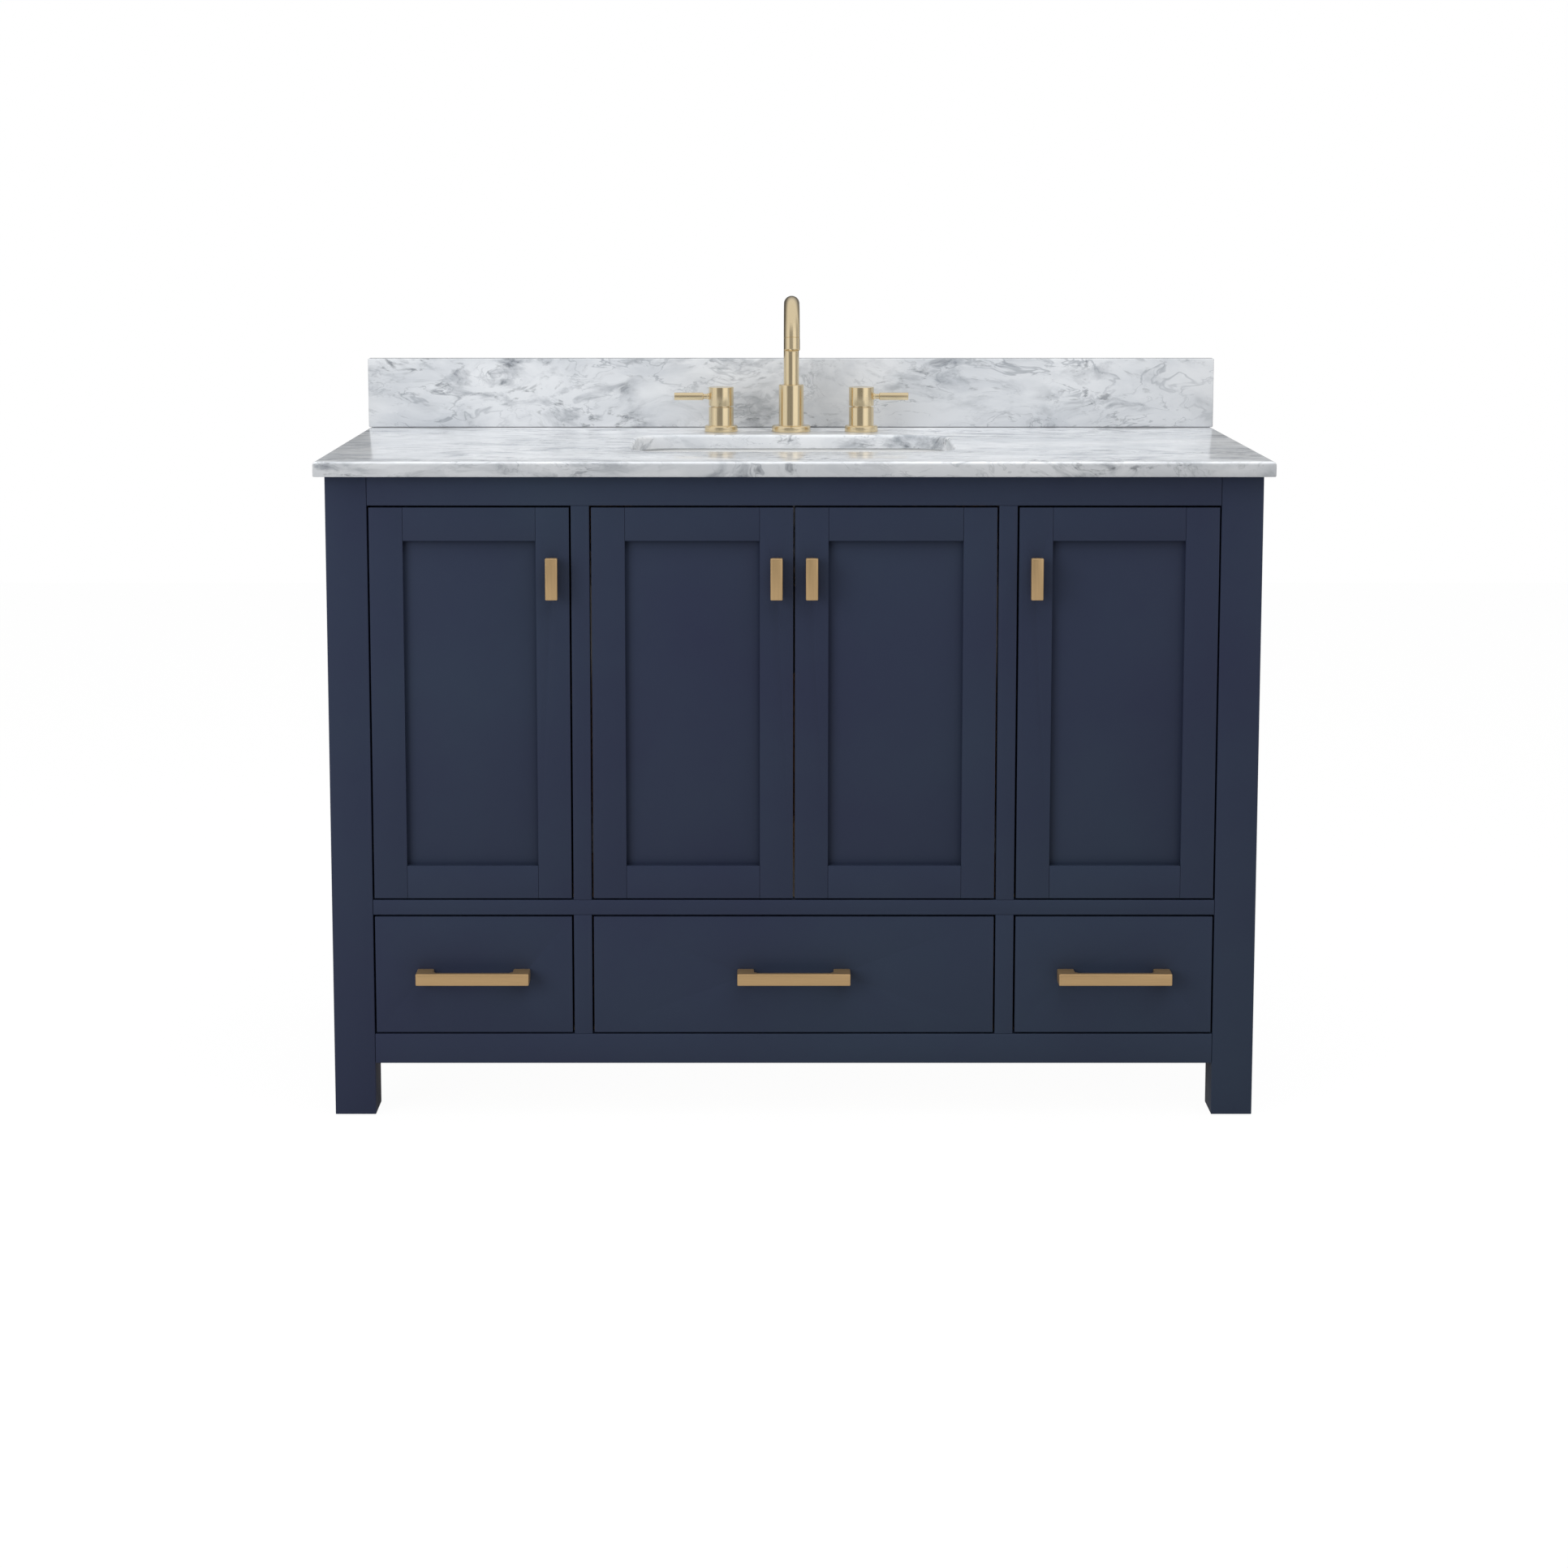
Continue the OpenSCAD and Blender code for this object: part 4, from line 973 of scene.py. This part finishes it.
@dataclass
class Bowl:
    """The undermount basin with its drain."""

    wall: float = 9 * MM
    flange: float = 24 * MM
    flange_t: float = 8 * MM
    reveal: float = 3 * MM
    floor_rise: float = 2.5 * MM
    drain_radius: float = 22.5 * MM
    seat_radius: float = 32.5 * MM
    corner_steps: int = 12

    def build(self) -> None:
        """Makes the basin, drain and stopper."""
        top = StoneTop()
        low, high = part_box("basin")
        y = (low.y + high.y) / 2
        half_w = top.basin_width / 2 + self.reveal
        half_l = top.basin_length / 2 + self.reveal
        radius = top.basin_radius + self.reveal
        floor = low.z + self.wall
        rings: list[tuple[float, float, float, float]] = []
        bend, draft = 46 * MM, 20 * MM

        def circle(r: float, z: float) -> tuple[float, float, float, float]:
            return (r, r, r, z)

        rings.append(circle(self.drain_radius, floor - 0.5 * MM))
        rings.append(circle(self.drain_radius + 1 * MM, floor))
        rings.append(circle(self.seat_radius, floor))
        for share in (0.25, 0.6, 1.0):
            w = self.seat_radius + (half_w - draft - bend - self.seat_radius) * share
            l = self.seat_radius + (half_l - draft - bend - self.seat_radius) * share
            rings.append((w, l, min(w, l) * (1 - 0.15 * share), floor + self.floor_rise * share))
        for step in range(1, 11):
            angle = math.pi / 2 * step / 10
            out = bend * math.sin(angle)
            rings.append((half_w - draft - bend + out, half_l - draft - bend + out,
                          radius * (0.75 + 0.2 * step / 10), floor + self.floor_rise + bend * (1 - math.cos(angle))))
        wall_low = floor + self.floor_rise + bend
        for step in range(1, 7):
            share = step / 6
            rings.append((half_w - draft * (1 - share), half_l - draft * (1 - share),
                          radius * (0.95 + 0.05 * share), wall_low + (high.z - 2 * MM - wall_low) * share))
        lip = 2 * MM
        rings.append((half_w + 0.6 * lip, half_l + 0.6 * lip, radius + 0.6 * lip, high.z - 0.5 * MM))
        rings.append((half_w + lip, half_l + lip, radius + lip, high.z))
        edge = self.flange
        rings.append((half_w + edge - lip, half_l + edge - lip, radius + edge - lip, high.z))
        rings.append((half_w + edge, half_l + edge, radius + edge, high.z - lip))
        rings.append((half_w + edge, half_l + edge, radius + edge, high.z - self.flange_t + lip))
        rings.append((half_w + edge - lip, half_l + edge - lip, radius + edge - lip, high.z - self.flange_t))
        grow = self.wall
        rings.append((half_w + grow, half_l + grow, radius + grow, high.z - self.flange_t))
        rings.append((half_w - draft + grow, half_l - draft + grow, radius + grow, wall_low))
        for step in range(1, 9):
            angle = math.pi / 2 * step / 8
            out = (bend + grow) * math.cos(angle)
            rings.append((half_w - draft - bend + out, half_l - draft - bend + out, radius * 0.75 + grow,
                          wall_low - (wall_low - low.z) * math.sin(angle)))
        rings.append(circle(self.seat_radius, low.z))
        rings.append(circle(self.drain_radius, low.z))
        shape = bmesh.new()
        middle = Vector((0, y, 0))
        loops = [[shape.verts.new((*point, z)) for point in rounded_rect(middle, w, l, r, self.corner_steps)]
                 for w, l, r, z in rings]
        bridged(shape, loops + loops[:1])
        bmesh.ops.remove_doubles(shape, verts=shape.verts, dist=0.005 * MM)
        bmesh.ops.recalc_face_normals(shape, faces=shape.faces)
        add_piece("basin_made", finish_mesh(shape, 45), [GLAZE], "cabinet", ["basin"])
        eased_piece("basin_clips", STEEL, 0.3 * MM, 2)
        eased_piece("drain_body", FAUCET_BRASS, 0.4 * MM, 2)
        eased_piece("drain_nut", NUT_BRASS, 0.8 * MM, 2)
        self.stopper()
        log.info("basin: %d rings", len(rings))

    def stopper(self) -> None:
        """Makes the push-up drain stopper with its domed cap."""
        low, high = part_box("drain_stopper")
        middle = (low + high) / 2
        radius = (high.x - low.x) / 2
        cap = 5 * MM
        stem = 4 * MM
        height = high.z - low.z
        outline = [(0, 0), (0, stem), (height - cap, stem), (height - cap, radius - 4 * MM),
                   (height - cap + 2 * MM, radius), (height - 1.2 * MM, radius - 3 * MM),
                   (height - 0.2 * MM, radius - 12 * MM), (height, 0)]
        line = Axis(Vector((middle.x, middle.y, low.z)), Vector((0, 0, 1)))
        shape = turned(line, rounded(outline, 1 * MM), 72)
        add_piece("drain_stopper_made", finish_mesh(shape), [FAUCET_BRASS], "stopper", ["drain_stopper"])


@dataclass
class Faucet:
    """The widespread faucet: two lever valves and a gooseneck spout."""

    foot_t: float = 9 * MM
    collar_radius: float = 18 * MM
    body_height: float = 35.6 * MM
    neck_radius: float = 14.5 * MM
    neck_height: float = 38 * MM
    shank_radius: float = 13 * MM
    shank_bore: float = 6 * MM
    socket: float = 30 * MM
    collar_height: float = 68 * MM
    bend_radius: float = 52 * MM
    bend_height: float = 135 * MM
    bend_angle: float = math.radians(167)
    nozzle: float = 24 * MM
    tube_radius: float = 11 * MM
    lever_axis: float = 12.5 * MM
    lever_radius: float = 5.5 * MM
    lever_neck: float = 3.85 * MM
    lever_neck_length: float = 8 * MM
    thread: float = 0.5 * MM

    def threaded_shank(self, depth: float) -> list[tuple[float, float]]:
        """Returns the outline of a threaded shank from its lower end up to the foot."""
        points = [(-depth, self.shank_bore), (-depth, self.shank_radius - self.thread)]
        pitch = 1.8 * MM
        turns = int((depth - 22 * MM) / pitch)
        for turn in range(turns):
            start = -depth + turn * pitch
            points += [(start + pitch * 0.5, self.shank_radius), (start + pitch, self.shank_radius - self.thread)]
        points += [(-21 * MM, self.shank_radius), (0, self.shank_radius)]
        return points

    def foot(self, radius: float) -> list[tuple[float, float]]:
        """Returns the outline of a round foot with a stepped, softened rim."""
        return [(0, radius), (self.foot_t - 2 * MM, radius), (self.foot_t, radius - 1.6 * MM),
                (self.foot_t, self.collar_radius)]

    def spout_base(self, line: Axis, depth: float) -> None:
        """Makes the spout's foot, shank and collar."""
        low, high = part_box("spout_base")
        radius = (high.x - low.x) / 2
        bore = self.tube_radius + 0.3 * MM
        outline = self.threaded_shank(depth)
        upper = rounded([(-1 * MM, self.shank_radius)] + self.foot(radius)
                        + [(self.collar_height, self.collar_radius), (self.collar_height, bore),
                           (self.collar_height - self.socket, bore),
                           (self.collar_height - self.socket, self.shank_bore), (-depth, self.shank_bore)], 0.9 * MM)
        shape = turned(line, outline[:-1] + upper, 80)
        bmesh.ops.remove_doubles(shape, verts=shape.verts, dist=0.001 * MM)
        bmesh.ops.recalc_face_normals(shape, faces=shape.faces)
        add_piece("spout_base_made", finish_mesh(shape, 30), [FAUCET_BRASS], "cabinet", ["spout_base"])

    def valve_bases(self, lines: Sequence[Axis], depth: float) -> None:
        """Makes both valves' feet, shanks, bodies and stems."""
        low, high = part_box("valve_bases")
        radius = (high.y - low.y) / 2
        stem = 5.7 * MM
        stem_top = high.z - lines[0].start.z
        shape = bmesh.new()
        for line in lines:
            outline = self.threaded_shank(depth)
            upper = rounded([(-1 * MM, self.shank_radius)] + self.foot(radius)
                            + [(self.body_height, self.collar_radius), (self.body_height, self.neck_radius),
                               (self.neck_height, self.neck_radius), (self.neck_height, stem), (stem_top, stem),
                               (stem_top, 0)], 0.5 * MM)
            closing = [(0.0, 0.0), (0.0, self.shank_bore), (-depth, self.shank_bore)]
            turned(line, outline[:-1] + upper, 80, shape)
            turned(line, closing, 80, shape)
        bmesh.ops.remove_doubles(shape, verts=shape.verts, dist=0.001 * MM)
        bmesh.ops.recalc_face_normals(shape, faces=shape.faces)
        add_piece("valve_bases_made", finish_mesh(shape, 30), [FAUCET_BRASS], "cabinet", ["valve_bases"])

    def spout(self, top: Vector) -> None:
        """Makes the bent tube, its nozzle ring and the aerator in its mouth."""
        foot = top + Vector((0, 0, self.collar_height - self.socket + 0.3 * MM))
        line = GooseNeck(foot, self.bend_height - (foot.z - top.z), self.bend_radius, self.bend_angle, self.nozzle)
        end = line.length
        seam = end - 0.7 * self.nozzle
        sleeve = self.tube_radius + 0.15 * MM
        mouth = 9.3 * MM
        steps = 64
        outline = [(0, 0), (0, self.tube_radius - 0.6 * MM), (0.6 * MM, self.tube_radius)]
        outline += [(line.rise * share, self.tube_radius) for share in (0.3, 0.6)]
        bend = line.radius * line.sweep
        outline += [(line.rise + bend * k / steps, self.tube_radius) for k in range(steps + 1)]
        outline += [(seam - 0.7 * MM, self.tube_radius), (seam - 0.4 * MM, self.tube_radius - 0.5 * MM),
                    (seam, self.tube_radius - 0.5 * MM), (seam + 0.1 * MM, sleeve - 0.2 * MM),
                    (seam + 0.3 * MM, sleeve), (end - 0.6 * MM, sleeve), (end, sleeve - 0.5 * MM),
                    (end, mouth + 0.4 * MM), (end - 0.5 * MM, mouth), (end - 2.2 * MM, mouth),
                    (end - 2.2 * MM, mouth - 1.2 * MM), (end - 1.7 * MM, mouth - 1.6 * MM),
                    (end - 1.7 * MM, mouth - 2.4 * MM), (end - 3.4 * MM, mouth - 2.8 * MM), (end - 3.4 * MM, 0)]
        shape = turned(line, outline, 72)
        add_piece("spout_made", finish_mesh(shape, 32), [FAUCET_BRASS], "spout_tube", ["spout"])

    def handle(self, node: str, line: Axis, body: str) -> None:
        """Makes one hub with its lever."""
        low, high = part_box(node)
        height = high.z - low.z
        hub = Axis(Vector((line.start.x, line.start.y, low.z)), Vector((0, 0, 1)))
        bore = 6 * MM
        bore_top = 16 * MM
        skirt = -1.0 * MM
        neck = self.neck_radius + 0.4 * MM
        outline = rounded([(bore_top, bore), (0, bore), (0, neck), (skirt, neck), (skirt, self.collar_radius),
                           (height, self.collar_radius), (height, 0)], 0.5 * MM)
        shape = turned(hub, [(bore_top, 0)] + outline, 80)
        outward = 1.0 if line.start.x > 0 else -1.0
        reach = (high.x - line.start.x) if outward > 0 else (line.start.x - low.x)
        lever = Axis(Vector((line.start.x, line.start.y, low.z + self.lever_axis)), Vector((outward, 0, 0)))
        neck_end = self.collar_radius + self.lever_neck_length
        flare = self.collar_radius + 1.2 * MM
        path = [(self.collar_radius - 3 * MM, 0), (self.collar_radius - 3 * MM, self.lever_neck + 1.1 * MM),
                (flare, self.lever_neck + 1.1 * MM), (flare + 1 * MM, self.lever_neck),
                (neck_end, self.lever_neck), (neck_end, self.lever_radius), (reach, self.lever_radius), (reach, 0)]
        turned(lever, rounded(path, 0.7 * MM), 48, shape)
        mesh = finish_mesh(shape, 32)
        piece = add_piece(f"{node}_made", mesh, [FAUCET_BRASS, LEVER_BRASS], body, [node])
        for face in piece.data.polygons:
            if abs(face.center.x - line.start.x) > self.collar_radius + 0.2 * MM:
                face.material_index = 1

    def build(self) -> None:
        """Makes every piece of the faucet."""
        top_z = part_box("countertop")[1].z
        low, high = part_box("spout_base")
        depth = top_z - low.z
        y = (low.y + high.y) / 2
        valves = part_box("valve_bases")
        reach = (valves[1].x - valves[0].x) / 2 - (valves[1].y - valves[0].y) / 2
        up = Vector((0, 0, 1))
        self.spout_base(Axis(Vector((0, y, top_z)), up), depth)
        left, right = Axis(Vector((-reach, y, top_z)), up), Axis(Vector((reach, y, top_z)), up)
        self.valve_bases([left, right], depth)
        self.spout(Vector((0, y, top_z)))
        self.handle("left_handle", left, "left_valve_handle")
        self.handle("right_handle", right, "right_valve_handle")
        eased_piece("faucet_nuts", NUT_BRASS, 0.8 * MM, 2)
        log.info("faucet")


@dataclass
class Hardware:
    """Fixed hinge plates, shelf pins and drawer runners with their screws."""

    plate_screw: float = 3.4 * MM

    def build(self) -> None:
        """Makes the fixed hardware and its screws."""
        for node in ("hinge_plates", "shelf_pins", "runner_rails"):
            eased_piece(node, STEEL, 0.35 * MM, 2)
        self.hinge_screws()
        self.runner_screws()
        log.info("hardware")

    def hinge_screws(self) -> None:
        """Sets two screws on every hinge plate, facing into the opening."""
        plate_low, plate_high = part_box("hinge_plates")
        half = 24 * MM
        levels = (plate_low.z + half, plate_high.z - half)
        y = plate_high.y - 12 * MM
        ear = 17 * MM
        plate = 3 * MM
        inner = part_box("mullions")[1].x - (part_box("mullions")[1].x - abs(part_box("centre_right_door_frame")[1].x)
                                           - 2.5 * MM)
        for name, x, way in (("left", plate_low.x + plate, 1), ("right", plate_high.x - plate, -1),
                             ("centre_left", -inner + plate, 1), ("centre_right", inner - plate, -1)):
            points = [(x + way * 0.2 * MM, y, z + side * ear) for z in levels for side in (-1, 1)]
            ScrewField().place(f"{name}_plate_screws", points, (way, 0, 0), self.plate_screw, STEEL, "cabinet")

    def runner_screws(self) -> None:
        """Sets screws along both flanges of every fixed runner."""
        low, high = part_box("runner_rails")
        flange_top = low.z + 2 * MM
        xs = []
        for name in ("left_drawer", "centre_drawer", "right_drawer"):
            box_low, box_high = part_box(f"{name}_runners")
            half = 9.5 * MM
            xs += [box_low.x + half, box_high.x - half]
        count = 4
        span = high.y - low.y - 60 * MM
        points = [(x + side * 11.5 * MM, low.y + 30 * MM + span * k / (count - 1), flange_top + 0.2 * MM)
                  for x in xs for side in (-1, 1) for k in range(count)]
        ScrewField().place("runner_screws", points, (0, 0, 1), 2.8 * MM, STEEL, "cabinet")


# ---------------------------------------------------------------- studio


class Lamp(Enum):
    """The studio's soft boxes: place, size, power, and whether a gloss mirrors them."""

    KEY = ("key", (-3.1, -3.3, 1.8), 2.8, 98.0, False)
    TOP = ("top", (0.5, -0.8, 3.3), 3.4, 74.0, False)


@dataclass
class Studio:
    """The floor, the white surround, the soft boxes and the camera."""

    camera_place: Point = (-0.0367, -3.9965, 1.2261)
    tilt: float = 0.1184
    lens: float = 66.53
    shift: tuple[float, float] = (0.0115, -0.16)
    target: Point = (0.0, 0.0, 0.5)
    surround: float = 0.4
    floor_gloss: float = 0.1
    cards: tuple[tuple[float, float], ...] = ((0.0, 0.12), (0.14, 0.14), (0.22, 0.5), (0.30, 0.85), (0.37, 0.85),
                                              (0.405, 0.3), (0.525, 0.28), (0.56, 1.0), (0.66, 1.0), (0.69, 0.5),
                                              (0.77, 0.42), (0.80, 0.8), (0.86, 0.3), (1.0, 0.12))

    def build(self) -> None:
        """Makes the whole studio."""
        scene = bpy.context.scene
        scene.view_settings.view_transform = "Standard"
        self.camera()
        self.world()
        self.floor()
        for lamp in Lamp:
            self.lamp(*lamp.value)
        log.info("studio")

    def camera(self) -> None:
        """Makes the camera and gives it to the scene."""
        data = bpy.data.cameras.new("camera")
        data.lens = self.lens
        data.sensor_width = 36.0
        data.shift_x, data.shift_y = self.shift
        camera = bpy.data.objects.new("camera", data)
        camera.location = self.camera_place
        camera.rotation_euler = (math.pi / 2 - self.tilt, 0, 0)
        bpy.context.scene.collection.objects.link(camera)
        bpy.context.scene.camera = camera

    def white_rays(self, bench: Bench) -> bpy.types.NodeSocket:
        """Returns how white a ray sees the floor: fully by the camera and through glass, partly in a gloss."""
        path = bench.add("ShaderNodeLightPath").outputs
        seen = bench.math("MAXIMUM", path["Is Camera Ray"], path["Is Transmission Ray"])
        return bench.math("MAXIMUM", seen, bench.math("MULTIPLY", path["Is Glossy Ray"], self.floor_gloss))

    def world(self) -> None:
        """Makes a soft world that looks white to the camera and in reflections."""
        world = bpy.data.worlds.new("studio")
        bpy.context.scene.world = world
        world.use_nodes = True
        bench = Bench(world.node_tree)
        background = world.node_tree.nodes["Background"]
        background.inputs["Color"].default_value = (1, 1, 1, 1)
        path = bench.add("ShaderNodeLightPath").outputs
        glossy = self.soft_cards(bench)
        strength = bench.math("ADD", bench.math("MULTIPLY", path["Is Glossy Ray"], glossy),
                              bench.math("MULTIPLY", path["Is Diffuse Ray"], self.surround))
        strength = bench.math("ADD", strength,
                              bench.math("MAXIMUM", path["Is Camera Ray"], path["Is Transmission Ray"]))
        world.node_tree.links.new(bench.math("MINIMUM", strength, 1.0), background.inputs["Strength"])

    def soft_cards(self, bench: Bench) -> bpy.types.NodeSocket:
        """Returns the brightness of the surround in reflections: white with greyer cards round the sides."""
        ray = bench.add("ShaderNodeTexCoord").outputs["Generated"]
        parts = bench.add("ShaderNodeSeparateXYZ", {"Vector": ray}).outputs
        around = bench.math("ARCTAN2", parts["X"], bench.math("MULTIPLY", parts["Y"], -1.0))
        turn = bench.ranged(around, -math.pi, math.pi)
        ramp = bench.add("ShaderNodeValToRGB", {"Fac": turn})
        elements = ramp.color_ramp.elements
        elements.remove(elements[1])
        for index, (place, value) in enumerate(self.cards):
            element = elements[0] if index == 0 else elements.new(place)
            element.position = place
            element.color = (value, value, value, 1)
        high = bench.ranged(parts["Z"], 0.3, 0.75)
        return bench.mixed(high, ramp.outputs["Color"], (0.8, 0.8, 0.8, 1))

    def floor(self) -> None:
        """Makes a plain pale floor that keeps the object's soft shadow."""
        size = 5.0
        mesh = bpy.data.meshes.new("floor")
        mesh.from_pydata([(-size, -size, 0), (size, -size, 0), (size, size, 0), (-size, size, 0)], [], [(0, 1, 2, 3)])
        floor = bpy.data.objects.new("floor", mesh)
        bpy.context.scene.collection.objects.link(floor)
        material = bpy.data.materials.new("pale_floor")
        material.use_nodes = True
        bench = Bench(material.node_tree)
        shader = material.node_tree.nodes["Principled BSDF"]
        shader.inputs["Base Color"].default_value = (0.62, 0.62, 0.62, 1)
        shader.inputs["Roughness"].default_value = 0.9
        glow = bench.add("ShaderNodeEmission", {"Color": (1, 1, 1, 1), "Strength": 1.05})
        share = bench.math("MULTIPLY", self.white_rays(bench), 0.92)
        mix = bench.add("ShaderNodeMixShader", {0: share, 1: shader.outputs[0], 2: glow.outputs[0]})
        output = material.node_tree.nodes["Material Output"]
        material.node_tree.links.new(mix.outputs[0], output.inputs["Surface"])
        mesh.materials.append(material)

    def lamp(self, name: str, place: Point, size: float, power: float, mirrored: bool) -> None:
        """Makes one square soft box that faces the object."""
        data = bpy.data.lights.new(name, "AREA")
        data.shape = "SQUARE"
        data.size = size
        data.energy = power
        lamp = bpy.data.objects.new(name, data)
        lamp.location = place
        aim = Vector(self.target) - Vector(place)
        lamp.rotation_euler = aim.to_track_quat("-Z", "Y").to_euler()
        lamp.visible_glossy = mirrored
        bpy.context.scene.collection.objects.link(lamp)


def main() -> None:
    """Builds the studio and every sub-assembly, in order."""
    logging.basicConfig(level=logging.INFO, format="%(name)s: %(message)s")
    Studio().build()
    Case().build()
    for side in ("left", "centre_left", "centre_right", "right"):
        Door(f"{side}_door").build()
    for side in ("left", "centre", "right"):
        Drawer(f"{side}_drawer").build()
    StoneTop().build()
    Bowl().build()
    Faucet().build()
    Hardware().build()


if __name__ == "__main__":
    main()
